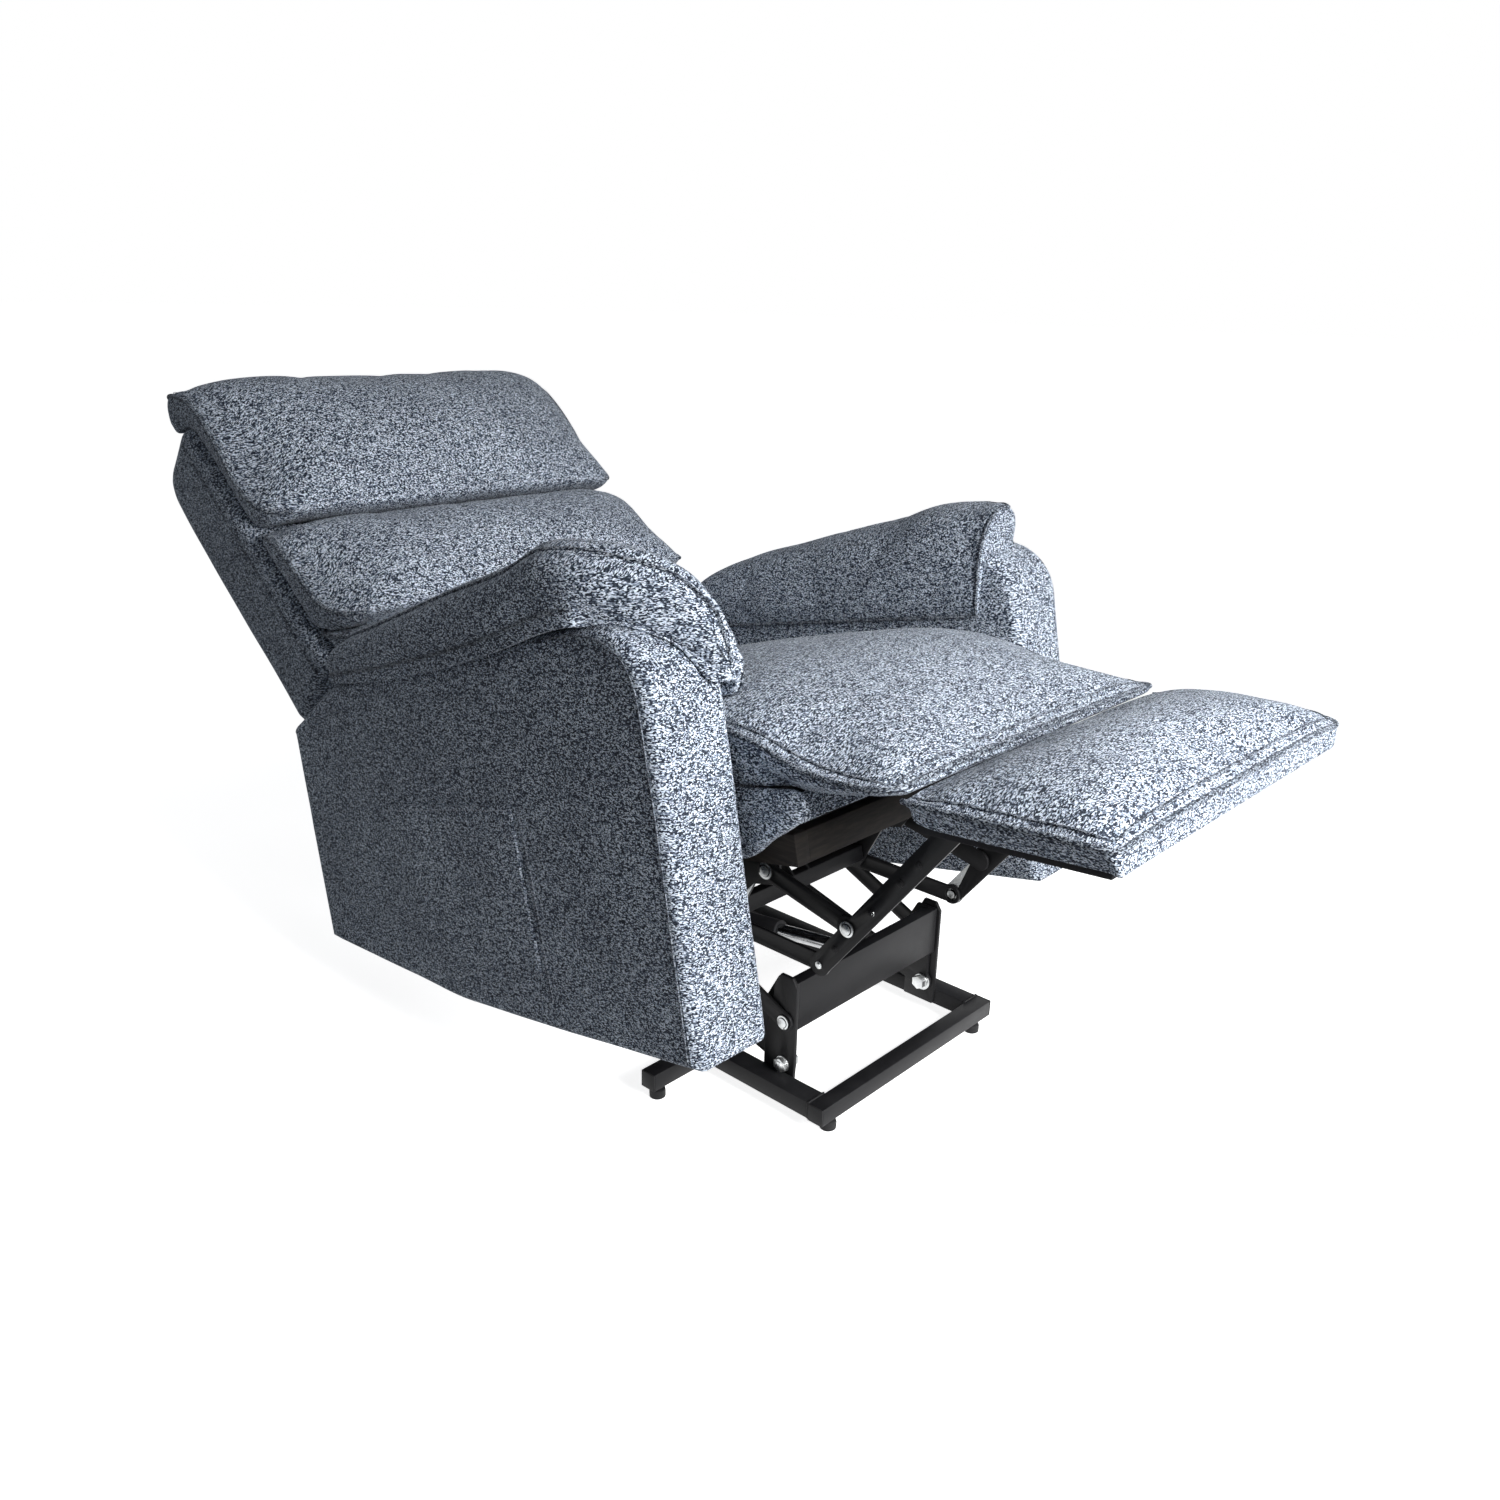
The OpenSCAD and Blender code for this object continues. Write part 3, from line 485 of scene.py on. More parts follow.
black_steel = hard_material("powder_coat", (grey(0.006), grey(0.012)), (0.36, 0.52), 700, 0.35)
black_plastic = hard_material("moulded_black", (grey(0.012), grey(0.020)), (0.52, 0.66), 1200, 0.4)
motor_shades = (grey(0.014, 0.002), grey(0.024, 0.002))
motor_plastic = hard_material("motor_case", motor_shades, (0.42, 0.58), 900, 0.3)
zinc_shades = ((0.50, 0.52, 0.53), (0.72, 0.73, 0.72))
zinc = hard_material("zinc_plate", zinc_shades, (0.22, 0.42), 300, 0.2, 1.0, cloud_scale=90)
rod_shades = ((0.42, 0.43, 0.44), (0.58, 0.59, 0.60))
rod_steel = hard_material("drawn_rod", rod_shades, (0.14, 0.26), 500, 0.1, 1.0, cloud_scale=60)
web_shades = ((0.020, 0.021, 0.024), (0.045, 0.046, 0.050))
webbing = hard_material(
    "elastic_webbing", web_shades, (0.80, 0.92), 420, 0.9, depth=0.0006, cloud_scale=40
)
thread_shades = ((0.34, 0.37, 0.43), (0.52, 0.55, 0.62))
thread = hard_material("pale_thread", thread_shades, (0.62, 0.75), 2400, 0.6, cloud_scale=300)
board_shades = ((0.006, 0.005, 0.005), (0.012, 0.010, 0.009), (0.020, 0.017, 0.014))
stained_wood = wood_material("stained_board", board_shades)
dust_shades = ((0.012, 0.012, 0.014), (0.026, 0.026, 0.029))
dust_cloth = hard_material(
    "dust_cloth", dust_shades, (0.85, 0.95), 900, 0.8, depth=0.0005, cloud_scale=30
)
print("nine hard finishes")

# %% [markdown]
# ## Puffing the soft pieces
# Foam pushes a cover outward while the seams and the board hold it back. The cloth solver does the
# same: the seam and underside points are held, a small pressure fills the rest, and the cloth is
# about one per cent too large, so it gathers into short puckers at the seams. How far a point may
# travel is capped, which keeps each cushion clear of its neighbours.

# %% Cloth helper
CLOTH_FRAMES = 20


def puff(obj, held, pressure=3.6, cap=0.022, spare=0.010):
    """Inflates the cover and returns the farthest travel before the cap, in metres."""
    group = obj.vertex_groups.new(name="held")
    for index, weight in held.items():
        group.add([int(index)], float(weight), "REPLACE")
    rest = np.array([v.co for v in obj.data.vertices])
    cloth = obj.modifiers.new("cover", "CLOTH")
    setup = cloth.settings
    stiffness = {"tension": 15, "compression": 15, "shear": 5, "bending": 1.2, "pin": 1.0}
    for key, value in stiffness.items():
        setattr(setup, key + "_stiffness", value)
    setup.quality = 5
    setup.mass = 0.3
    setup.vertex_group_mass = "held"
    setup.use_pressure = True
    setup.uniform_pressure_force = pressure
    setup.shrink_min = -spare
    setup.effector_weights.gravity = 0
    cloth.collision_settings.use_collision = False
    cloth.point_cache.frame_start = 1
    cloth.point_cache.frame_end = CLOTH_FRAMES
    for step in range(1, CLOTH_FRAMES + 1):
        scene.frame_set(step)
    shown = obj.evaluated_get(bpy.context.evaluated_depsgraph_get())
    moved = np.array([v.co for v in shown.data.vertices])
    scene.frame_set(1)
    obj.modifiers.remove(cloth)
    obj.vertex_groups.remove(group)
    travel = moved - rest
    length = np.linalg.norm(travel, axis=1, keepdims=True)
    travel *= np.minimum(1, cap / np.maximum(length, 1e-9))
    obj.data.vertices.foreach_set("co", (rest + travel).ravel())
    obj.data.update()
    return float(length.max())


def ripple(obj, size, height, seed, held=()):
    """Slow unevenness along the normals, none of it on the held points."""
    mesh = obj.data
    still = set(int(i) for i in held)
    normals = [v.normal.copy() for v in mesh.vertices]
    for v, normal in zip(mesh.vertices, normals):
        if v.index not in still:
            wave = noise.noise(v.co / size + Vector((seed, 0, 0)))
            fine = noise.noise(v.co / (size * 0.4) + Vector((0, seed, 0)))
            v.co += normal * height * (wave + 0.4 * fine)
    mesh.update()


def plain_mesh(obj, name):
    """The object's mesh with its modifiers applied."""
    shown = obj.evaluated_get(bpy.context.evaluated_depsgraph_get())
    made = bpy.data.meshes.new_from_object(shown)
    obj.modifiers.clear()
    made.name = name
    return made


def refine(obj):
    smoother = obj.modifiers.new("refine", "SUBSURF")
    smoother.levels = smoother.render_levels = 1
    old = obj.data
    obj.data = plain_mesh(obj, obj.name)
    bpy.data.meshes.remove(old)
    obj.data.shade_smooth()


def finish_soft(obj, body, slot, fill, *replaced):
    """Rides the piece on its body; fill, how full its padding is or None on a board, is not used."""
    weave_map(obj.data)
    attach(obj, body)
    if replaced:
        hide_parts(*replaced)
    print(obj.name, len(obj.data.polygons), "faces")


print("cloth helper ready")

# %% [markdown]
# ## Welts
# Where two panels meet, the cover is folded into a round welt. A welt is a tube swept along the
# seam's own points, so it follows every pucker. The sweep turns its frame as little as possible
# from point to point, which avoids twists. Welts wear the half-bright copy of the chenille, which
# paints in the shade of the creases beside them.

# %% Tubes along a path


def tidy_path(path, spacing):
    length = lengths_along(np.asarray(path, float))[-1]
    return resampled(path, max(3, int(length / spacing) + 1))


def soften(path):
    path = np.array(path, float)
    for _ in range(2):
        path[1:-1] = (path[:-2] + 2 * path[1:-1] + path[2:]) / 4
    return path


def sweep(paths, radius, sides=8):
    points, faces = [], []
    for path in paths:
        path = np.asarray(path, float)
        tangent = np.gradient(path, axis=0)
        tangent /= np.linalg.norm(tangent, axis=1, keepdims=True)
        steep = abs(tangent[0][2]) >= 0.9
        seed = np.array([1.0, 0.0, 0.0]) if steep else np.array([0.0, 0.0, 1.0])
        normal = seed - tangent[0] * seed.dot(tangent[0])
        start = len(points)
        for i, centre in enumerate(path):
            normal = normal - tangent[i] * normal.dot(tangent[i])
            normal /= np.linalg.norm(normal)
            side = np.cross(tangent[i], normal)
            for k in range(sides):
                angle = 2 * math.pi * k / sides
                points.append(centre + radius * (math.cos(angle) * normal + math.sin(angle) * side))
        count = len(path)
        faces += tube_faces(count, sides, start)
        for end in (0, count - 1):
            tip, ring = len(points), start + end * sides
            points.append(path[end])
            faces += [(ring + k, ring + (k + 1) % sides, tip) for k in range(sides)]
    return points, faces


def welt(name, paths, body, slot, radius=0.0033):
    smooth = [soften(tidy_path(path, 0.006)) for path in paths]
    # The half-bright seam fabric paints in the shade of the creases beside the welt.
    finish_soft(make_object(name, *sweep(smooth, radius), seam_fabric_painted_shade), body, slot, 0.9)


print("welt helper ready")

# %% [markdown]
# ## Stitches and weld ripples
# A row of stitches and the ripples of a weld are the same thing to a modeller: one small bead set
# again and again along a path. A node tree does that better than a loop, because its pitch and bead
# size stay open as inputs. The path comes in as edges, is cut into even steps, gets a bead turned
# along the path on each step, and leaves as one plain mesh.

# %% A node tree that sets beads along a path


def bead_tree():
    tree = bpy.data.node_groups.new("beads_on_path", "GeometryNodeTree")
    tree.is_modifier = True
    ends = (
        ("Path", "INPUT", "Geometry"), ("Pitch", "INPUT", "Float"), ("Length", "INPUT", "Float"),
        ("Width", "INPUT", "Float"), ("Finish", "INPUT", "Material"), ("Beads", "OUTPUT", "Geometry"),
    )
    for label, way, kind in ends:
        tree.interface.new_socket(label, in_out=way, socket_type="NodeSocket" + kind)
    given = add_node(tree, "NodeGroupInput").outputs
    line = add_node(tree, "GeometryNodeMeshToCurve", {"Mesh": given["Path"]}).outputs["Curve"]
    pitch = {"Curve": line, "Length": given["Pitch"]}
    even = add_node(tree, "GeometryNodeResampleCurve", pitch, mode="LENGTH").outputs["Curve"]
    heading = {"Vector": add_node(tree, "GeometryNodeInputTangent").outputs["Tangent"]}
    aim = add_node(tree, "FunctionNodeAlignRotationToVector", heading, axis="Z")
    ball = add_node(tree, "GeometryNodeMeshUVSphere", {"Segments": 8, "Rings": 5, "Radius": 0.5})
    extent = {"X": given["Width"], "Y": given["Width"], "Z": given["Length"]}
    size = add_node(tree, "ShaderNodeCombineXYZ", extent).outputs["Vector"]
    set_out = {"Points": even, "Instance": ball.outputs["Mesh"], "Scale": size}
    set_out["Rotation"] = aim.outputs["Rotation"]
    copies = add_node(tree, "GeometryNodeInstanceOnPoints", set_out).outputs["Instances"]
    solid = add_node(tree, "GeometryNodeRealizeInstances", {"Geometry": copies}).outputs["Geometry"]
    finish = {"Geometry": solid, "Material": given["Finish"]}
    painted = add_node(tree, "GeometryNodeSetMaterial", finish).outputs["Geometry"]
    add_node(tree, "NodeGroupOutput", {"Beads": painted})
    return tree


beads_on_path = bead_tree()


def beads(name, paths, body, slot, finish, pitch, length, width):
    points, edges = [], []
    for path in paths:
        edges += [(len(points) + i, len(points) + i + 1) for i in range(len(path) - 1)]
        points += [tuple(p) for p in path]
    mesh = bpy.data.meshes.new(name + "_path")
    mesh.from_pydata(points, edges, [])
    carrier = add_object(name + "_path", mesh)
    setter = carrier.modifiers.new("beads", "NODES")
    setter.node_group = beads_on_path
    values = {"Pitch": pitch, "Length": length, "Width": width, "Finish": finish}
    for socket in beads_on_path.interface.items_tree:
        if socket.name in values:
            setter[socket.identifier] = values[socket.name]
    made = add_object(name, plain_mesh(carrier, name))
    bpy.data.objects.remove(carrier)
    made.data.shade_smooth()
    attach(made, body)
    print(name, len(made.data.polygons), "faces")


print("bead tree ready")

# %% [markdown]
# ## Cushions
# A cushion is a crowned top, two gussets that pull in toward the board, and a flat underside. Each
# row of a table is [along, half width, half width underneath, underside, seam, crown].
# The top's points crowd toward the seams, where the surface bends most.

# %% Cushion builder


def spread(count):
    even = np.linspace(-1, 1, count + 1)
    return 0.55 * even + 0.45 * np.sin(even * math.pi / 2)


def crown_rings(rows, across, side, power, rim):
    """Cross-sections: crown, gusset, underside (its rim lower by rim), gusset."""
    bulge = 3.0
    u = spread(across)
    down = np.linspace(0, 1, side + 1)[1:-1]
    rings = []
    for y, wide, under_wide, under, seam, crown in rows:
        top = [(t * wide, y, seam + (crown - seam) * (1 - abs(t) ** power)) for t in u]
        late = 0.27 if wide - under_wide > 18 else 0.0
        edge = []
        for g in down:
            tuck = (under_wide - wide) * max(0.0, (g - late) / (1 - late))
            x = wide + tuck + bulge * math.sin(math.pi * g)
            edge.append((x, y, seam + (under - seam) * g))
        drop = min(rim, max(0.0, under - 31))
        floor_z = [under - drop * max(0.0, (abs(t) - 0.9) / 0.1) for t in u]
        below = [(t * under_wide, y, z) for t, z in zip(u[::-1], floor_z[::-1])]
        other = [(-x, y_, z) for x, y_, z in edge[::-1]]
        rings.append(top + edge + below + other)
    return np.array(rings)


def cushion(
    name, rows, place, body, replaced, across, side, power, step, lower, seed, fill, wave=0.0, rim=0.0
):
    """Builds, puffs and finishes one cushion and returns its seam lines."""
    rows = stations(rows, step)
    thick = rows[:, 5] - rows[:, 4]
    rows[:, 5] -= np.minimum(lower, np.maximum(thick - 6, 0))
    rings = crown_rings(rows, across, side, power, rim)
    if wave:
        for ring in rings[:6]:
            for p in ring:
                p[1] += wave * noise.noise(Vector((p[0] / 150, seed, 0)))
                p[2] += 0.6 * wave * noise.noise(Vector((p[0] / 110, 0, seed)))
    count, n = rings.shape[:2]
    points, faces = skin(rings, across, side)
    made = make_object(name, place(points), faces, fabric)
    held = {}
    underside = list(range(across + side, 2 * across + side + 1))
    for i in range(count):
        for j in [0, across] + underside:
            held[i * n + j] = 1.0
    held.update({j: 1.0 for j in [*range(n), *range((count - 1) * n, len(points))]})
    travel = puff(made, held)
    ripple(made, 0.16, 0.0022, seed, held)
    mesh = made.data

    def at(ring, j):
        return mesh.vertices[ring * n + j].co.copy()

    def on_top(ring, j):
        vertex = mesh.vertices[ring * n + j]
        return vertex.co + vertex.normal * 0.0004

    seams = {
        "left": [at(i, 0) for i in range(count)],
        "right": [at(i, across) for i in range(count)],
        "first": [at(0, j) for j in range(across + 1)],
    }
    for label, k in (("stitches", 1), ("second", 2)):
        line = [on_top(i, k) for i in range(count - 2, k, -1)]
        line += [on_top(k, j) for j in range(k, across - k + 1)]
        seams[label] = line + [on_top(i, across - k) for i in range(k + 1, count - 1)]
    refine(made)
    finish_soft(made, body, "cushion_fabric", fill, replaced)
    print(name, "puffed", round(travel * 1000, 1), "mm")
    return seams


def stitches(label, line, body):
    pitch, length, width = 0.0052, 0.0034, 0.0013
    beads(label + "_stitches", [line], body, "cushion_fabric", thread, pitch, length, width)


def front_trim(label, seam, body):
    """Two welts and stitches that run forward, across the front edge and back again."""
    edge = seam["left"][::-1] + seam["first"][1:] + seam["right"][1:]
    welt(label + "_welt", [edge], body, "cushion_fabric")
    welt(label + "_second_welt", [seam["second"]], body, "cushion_fabric", 0.0017)
    stitches(label, seam["stitches"], body)


print("cushion builder ready")

# %% [markdown]
# ## Seat cushion
# The seat is one long pad that rolls over the front of the box. Its welt runs forward along one
# side, across the rolled front edge and back along the other side.

# %% Seat cushion
seat_rows = [
    (-212, 269, 261, 299, 304, 309),
    (-204, 280, 258, 294, 304, 321),
    (-185, 285, 252, 290, 304, 333),
    (-150, 285, 250, 287, 307, 346),
    (-110, 285, 249, 285, 314, 358),
    (-64, 285, 249, 285, 330, 372),
    (-44, 285, 258, 293.5, 340, 378),
    (-20, 285, 268, 293.5, 350, 385),
    (20, 285, 273, 293.5, 360, 394),
    (80, 285, 273, 293.5, 365, 400),
    (150, 285, 273, 293.5, 365, 398),
    (230, 285, 273, 293.5, 362, 394),
    (330, 285, 273, 293.5, 355, 384),
    (430, 285, 273, 293.5, 345, 373),
    (520, 283, 271, 293.5, 338, 362),
    (556, 279, 267, 294, 330, 348),
    (570, 275, 263, 296, 320, 334),
    (577, 265, 257, 302, 312, 318),
]
seam = cushion(
    "seat_cushion_cover", seat_rows, in_box, "seat", "seat_cushion",
    across=54, side=6, power=5, step=10.5, lower=6, seed=2.3, fill=0.7,
)
front_trim("seat", seam, "seat")

# %% [markdown]
# ## Three tiers of the back
# Headrest, middle and lumbar cushions overlap like shingles. Each lower edge is a soft roll that
# waves a little, and each side has a gusset with a welt.

# %% Headrest, middle and lumbar cushions
head_rows = [
    (446, 290, 284, 37, 42, 50),
    (449, 309, 301, 26, 38, 58),
    (457, 326, 316, 8, 30, 68),
    (470, 337, 326, -14, 22, 77),
    (492, 345, 330, -37, 13, 82),
    (515, 347, 331, -39.7, 6, 84),
    (550, 347, 331, -39.7, 2, 84),
    (600, 347, 331, -39.7, 9, 82),
    (650, 347, 331, -39.7, 12, 76),
    (690, 347, 332, -40, 10, 67),
    (722, 347, 335, -52, 2, 54),
    (732, 348, 335, -74, -3, 47),
    (742, 349, 335, -88, -10, 38),
    (758, 349, 335, -88, -20, 22),
    (770, 346, 333, -87, -34, -2),
    (779, 338, 326, -82, -48, -28),
]
middle_rows = [
    (222, 286, 280, 71, 76, 82),
    (225, 306, 299, 60, 72, 87),
    (233, 324, 315, 38, 62, 94),
    (246, 336, 325, 10, 48, 98),
    (268, 344, 328, -18, 34, 98),
    (296, 347, 329, -39.7, 23, 93),
    (340, 347, 329, -39.7, 18, 86),
    (395, 347, 329, -39.7, 12, 72),
    (430, 346, 327, -39.7, 2, 50),
    (445, 342, 323, -39.7, -10, 30),
    (456, 332, 315, -39.7, -20, 2),
    (470, 308, 295, -39.7, -32, -20),
]
lumbar_rows = [
    (50, 262, 254, -39.7, 6, 30),
    (60, 272, 262, -39.7, 18, 56),
    (88, 277, 264, -39.7, 28, 76),
    (130, 278, 264, -39.7, 32, 82),
    (170, 278, 264, -39.7, 34, 82),
    (205, 278, 264, -39.7, 34, 76),
    (219, 278, 264, -39.7, 34, 66),
    (226, 330, 316, -39.7, 20, 46),
    (240, 332, 316, -39.7, 0, 14),
    (258, 332, 316, -39.7, -18, -11),
    (274, 326, 312, -39.7, -34, -29),
]
for label, rows, seed, wave in (
    ("headrest", head_rows, 5.1, 4),
    ("middle", middle_rows, 7.7, 4),
    ("lumbar", lumbar_rows, 9.4, 0),
):
    seam = cushion(
        label + "_cover", rows, in_back, "back", label + "_cushion",
        across=64, side=6, power=6, step=9.0, lower=6, seed=seed, fill=0.75, wave=wave,
    )
    welt(label + "_welts", [seam["left"][1:], seam["right"][1:]], "back", "cushion_fabric")
    stitches(label, seam["stitches"], "back")

# %% [markdown]
# ## Footrest pad
# The pad's cover comes down past the edge of its board. A welt runs round its front and sides, a
# finger's width above the lower edge, and the corners are pulled to points.

# %% Footrest pad
foot_rows = [
    (-250, 268, 262, 32, 58, 64),
    (-245, 274, 264, 30, 60, 73),
    (-239, 277, 264, 46, 61, 83),
    (-224, 280, 264, 46, 62, 92),
    (-192, 280, 264, 46, 63, 98),
    (-132, 280, 264, 46, 63, 99),
    (-84, 280, 264, 46, 63, 95),
    (-48, 280, 264, 46, 63, 88),
    (-26.4, 279, 262, 47, 63, 77),
    (-13.2, 274, 258, 50, 62, 67),
]
seam = cushion(
    "footrest_cover", foot_rows, in_foot, "footrest", "footrest_pad",
    across=54, side=5, power=6, step=9.0, lower=5, seed=11.2, fill=0.7, rim=15.0,
)
front_trim("footrest", seam, "footrest")

# %% [markdown]
# ## Padded boards
# An arm, the skirt and the pocket are padded boards. The outline is drawn as four sides in the seat
# box's axes, the rim is rounded over, and the two faces are filled with a grid and swell a little,
# as fabric over wadding does.

# %% Slabs with a rounded rim


def eased_line(points, steps=60):
    points = np.array(points, float)
    run = lengths_along(points)
    return eased(run, points, np.linspace(0, run[-1], steps + 1))


def arc(centre, radius, start, end, steps=14):
    angles = np.radians(np.linspace(start, end, steps + 1))
    return [(centre[0] + radius * math.cos(a), centre[1] + radius * math.sin(a)) for a in angles]


def outline(sides, a, b):
    """Four sides as one ring of a, b, a and b steps."""
    counts = (a, b, a, b)
    return np.vstack([resampled(line, steps + 1)[:-1] for line, steps in zip(sides, counts)])


def inset(ring, distance):
    """The ring moved inward by a distance and mitred at its points."""
    edge = ring - np.roll(ring, 1, axis=0)
    edge /= np.linalg.norm(edge, axis=1, keepdims=True)
    inward = np.stack([-edge[:, 1], edge[:, 0]], -1)
    mitre = inward + np.roll(inward, -1, axis=0)
    mitre /= np.maximum(np.linalg.norm(mitre, axis=1, keepdims=True), 1e-6)
    area = np.sum(ring[:, 0] * np.roll(ring[:, 1], -1) - np.roll(ring[:, 0], -1) * ring[:, 1])
    reach = distance / np.maximum(np.sum(mitre * inward, axis=1, keepdims=True), 0.55)
    return ring + (1.0 if area > 0 else -1.0) * mitre * reach


def slab(ring, a, b, x0, x1, radius, layers):
    """A flat panel between x0 and x1 whose rim is rounded over."""
    rim = []
    for phi in np.radians([0, 20, 42, 64, 84]):
        rim.append((radius * (1 - math.cos(phi)), inset(ring, radius * (1 - math.sin(phi)))))
    rings = [(x0 + depth, smaller) for depth, smaller in rim]
    for t in np.linspace(0, 1, layers + 1):
        rings.append((x0 + radius + (x1 - x0 - 2 * radius) * t, ring))
    rings += [(x1 - depth, smaller) for depth, smaller in rim[::-1]]
    return skin([[(x, p[0], p[1]) for p in flat] for x, flat in rings], a, b)


def board_cover(name, place, points, faces, wave, height, seed):
    """The smoothed cover of a board; wave and height say how uneven it is, in metres."""
    made = make_object(name, place(points), faces, fabric)
    ripple(made, wave, height, seed)
    refine(made)
    return made


print("slab helper ready")

# %% [markdown]
# ## Arm panels
# The panel's lower edge rises toward the rear, and its top falls toward the rear and turns down
# through an arch at the front corner. One panel is built and mirrored.

# %% Arm panels
ARM_GAP = 296
ARM_WIDTH = 114
ARM_HEIGHT = 499
ARM_REAR = 790
ARM_OUTER = ARM_GAP + ARM_WIDTH
SWELL = 3.5

arm_bottom = eased_line([(0, 0), (220, 0), (435, 3), (576, 20), (790, 43)])
arm_rear = [(790, 43), (785, 370)]
arm_ridge = eased_line([(785, 370), (623, 437), (400, 464), (220, 486), (107, 498)])
arm_top = list(arm_ridge) + arc((78, 417), 82, 90, 180)
arm_front = [(-4, 417), (-4, 340), (0, 0)]
arm_ring = outline([arm_bottom, arm_rear, arm_top, arm_front], 84, 48)
points, faces = slab(arm_ring, 84, 48, ARM_GAP, ARM_OUTER, 13, layers=9)
middle_x = ARM_GAP + ARM_WIDTH / 2
for p in points:
    side_push = (p[0] - middle_x) / (ARM_WIDTH / 2)
    if abs(side_push) > 0.97:
        room = min(p[1] + 4, ARM_REAR - p[1], p[2] + 1, ARM_HEIGHT - p[2], 60) / 60
        p[0] += np.sign(side_push) * SWELL * math.sin(max(room, 0) * math.pi / 2)
left_arm = board_cover("arm_left_cover", in_box, points, faces, 0.22, 0.0016, 3.7)
right_arm = mirrored(left_arm, "arm_right_cover")
finish_soft(left_arm, "carriage", "cover_fabric", None, "arm_panel_left")
finish_soft(right_arm, "carriage", "cover_fabric", None, "arm_panel_right")

# %% [markdown]
# ## Arm pads
# The pad is a saddle: a long drape inside, a ridge seam along the top, a panel outside with a loose
# flange under it, and a tip that folds down over the front of the arm. Each row of the table gives
# one cross-section: [along, outer reach, ridge reach, flap edge, ridge, arm top, inner hem]. The
# far pad is lower along its ridge than the near one and starts behind the arm's arch.

# %% Arm pads
FAR_START = 28
FAR_DIP = (
    [-24, 20, 30, 60, 100, 140, 225, 337, 430, 520],
    [8, 14, 2, 15, 23, 26, 18, 12, 5, 0],
)
pad_rows = [
    (-24, 12, 8, 436, 448, 420, 428),
    (-18, 24, 10, 430, 492, 418, 410),
    (-8, 38, 24, 446, 515, 424, 404),
    (8, 56, 36, 464, 538, 462, 402),
    (30, 80, 56, 484, 554, 486, 402),
    (60, 104, 76, 497, 568, 500.5, 402),
    (100, 122, 94, 499, 580, 501.5, 402),
    (140, 128, 104, 494, 584, 498, 402),
    (225, 129, 106, 476, 562, 488, 402),
    (337, 129, 106, 457, 544, 475.5, 402),
    (430, 128, 105, 447, 526, 464.5, 402),
    (520, 126, 103, 439, 509, 453, 402),
    (600, 123, 100, 436, 494, 443.5, 402),
    (636, 118, 98, 436, 480, 440, 404),
    (652, 112, 96, 440, 462, 438, 410),
]


def pad_ring(row, a, b, proud):
    """One cross-section; proud is how far the top swells above the table's ridge."""
    y, reach_out, reach_ridge, flap, top, arm_top_z, hem = row
    g = ARM_GAP
    out = g + reach_out
    ridge = g + reach_ridge
    saddle = arm_top_z + 1.2
    cut = min(g + ARM_WIDTH + 0.8, out - 5)
    loose = min(max((y - 84) / 8, 0), 1) * min(max((660 - y) / 30, 0), 1)
    crest = proud * min(max((y + 24) / 60, 0), 1)
    fall, drop = top - hem, top - flap
    flap_tip = (out - 14 + 17 * loose, flap - 3 * (1 - loose))
    drape = [
        (g - 9, hem - 1),
        (g - 14, hem + 14),
        (g - 15, (hem + top) / 2),
        (g - 11, top - fall * 0.32),
        (g + reach_ridge * 0.02, top - fall * 0.15),
        (g + reach_ridge * 0.3, top - fall * 0.04 + crest * 0.3),
        (g + reach_ridge * 0.62, top + crest * 0.7),
        (ridge - 13, top + crest),
        (ridge, top),
    ]
    outer = [
        (ridge, top),
        ((ridge + out) / 2 + 6, top - drop * 0.16),
        (out, top - drop * 0.42),
        (out - 1 - 5 * (1 - loose), flap + 21 - 10 * (1 - loose)),
        flap_tip,
    ]
    contact = [flap_tip, (cut, max(flap + 2, hem)), (cut, saddle), (g - 0.8, saddle)]
    hidden = [(g - 0.8, saddle), (g - 0.8, hem), (g - 9, hem - 1)]
    sides = [eased_line(drape, 40), eased_line(outer, 30), contact, hidden]
    return [(p[0], y, p[1]) for p in outline(sides, a, b)]


def arm_pad(name, proud, far, seed):
    a, b = 26, 14
    if far:
        places = np.linspace(FAR_START, 652, 71)
    else:
        places = np.concatenate([np.linspace(-24, 30, 9)[:-1], np.linspace(30, 652, 70)])
    rows = eased([r[0] for r in pad_rows], np.array(pad_rows, float), places)
    if far:
        rows[:, 4] -= np.interp(rows[:, 0], *FAR_DIP)
    rings = np.array([pad_ring(row, a, b, proud) for row in rows])
    if far:
        below = rows[:, None, 4] - rings[:, :, 2]
        low = np.clip(below / (rows[:, None, 4] - rows[:, None, 6]), 0, 1)
        rings[:, :, 1] += 30 * low * np.clip((150 - rings[:, :, 1]) / 122, 0, 1)
    count, n = rings.shape[:2]
    points, faces = skin(rings, a, b)
    made = make_object(name, in_box(points), faces, fabric)
    lower_seam = a + int(b * 0.79)
    held = {}
    for i in range(count):
        for j in [0, a, lower_seam] + list(range(a + b, n)):
            held[i * n + j] = 1.0
        for j in range(lower_seam + 1, a + b):
            held[i * n + j] = 0.6
    held.update({j: 1.0 for j in [*range(n), *range((count - 1) * n, len(points))]})
    travel = puff(made, held, 2.6, 0.009, 0.002)
    ripple(made, 0.13, 0.0020, seed, held)
    mesh = made.data
    along = [[mesh.vertices[i * n + j].co.copy() for i in range(count)] for j in (a, lower_seam, 0)]
    ridge, lower, hem = along
    front = [mesh.vertices[j].co.copy() for j in range(a + 1)]
    if not far:
        # The flap's seam starts behind the folded tip; across the tip only the ridge has a welt.
        lower = [p for p, row in zip(lower, rows) if row[0] > 90]
        front = [p for p, row in zip(ridge, rows) if row[0] > -20][:3]
    refine(made)
    print("arm pad puffed", round(travel * 1000, 1), "mm")
    return made, (ridge, lower, hem, front)


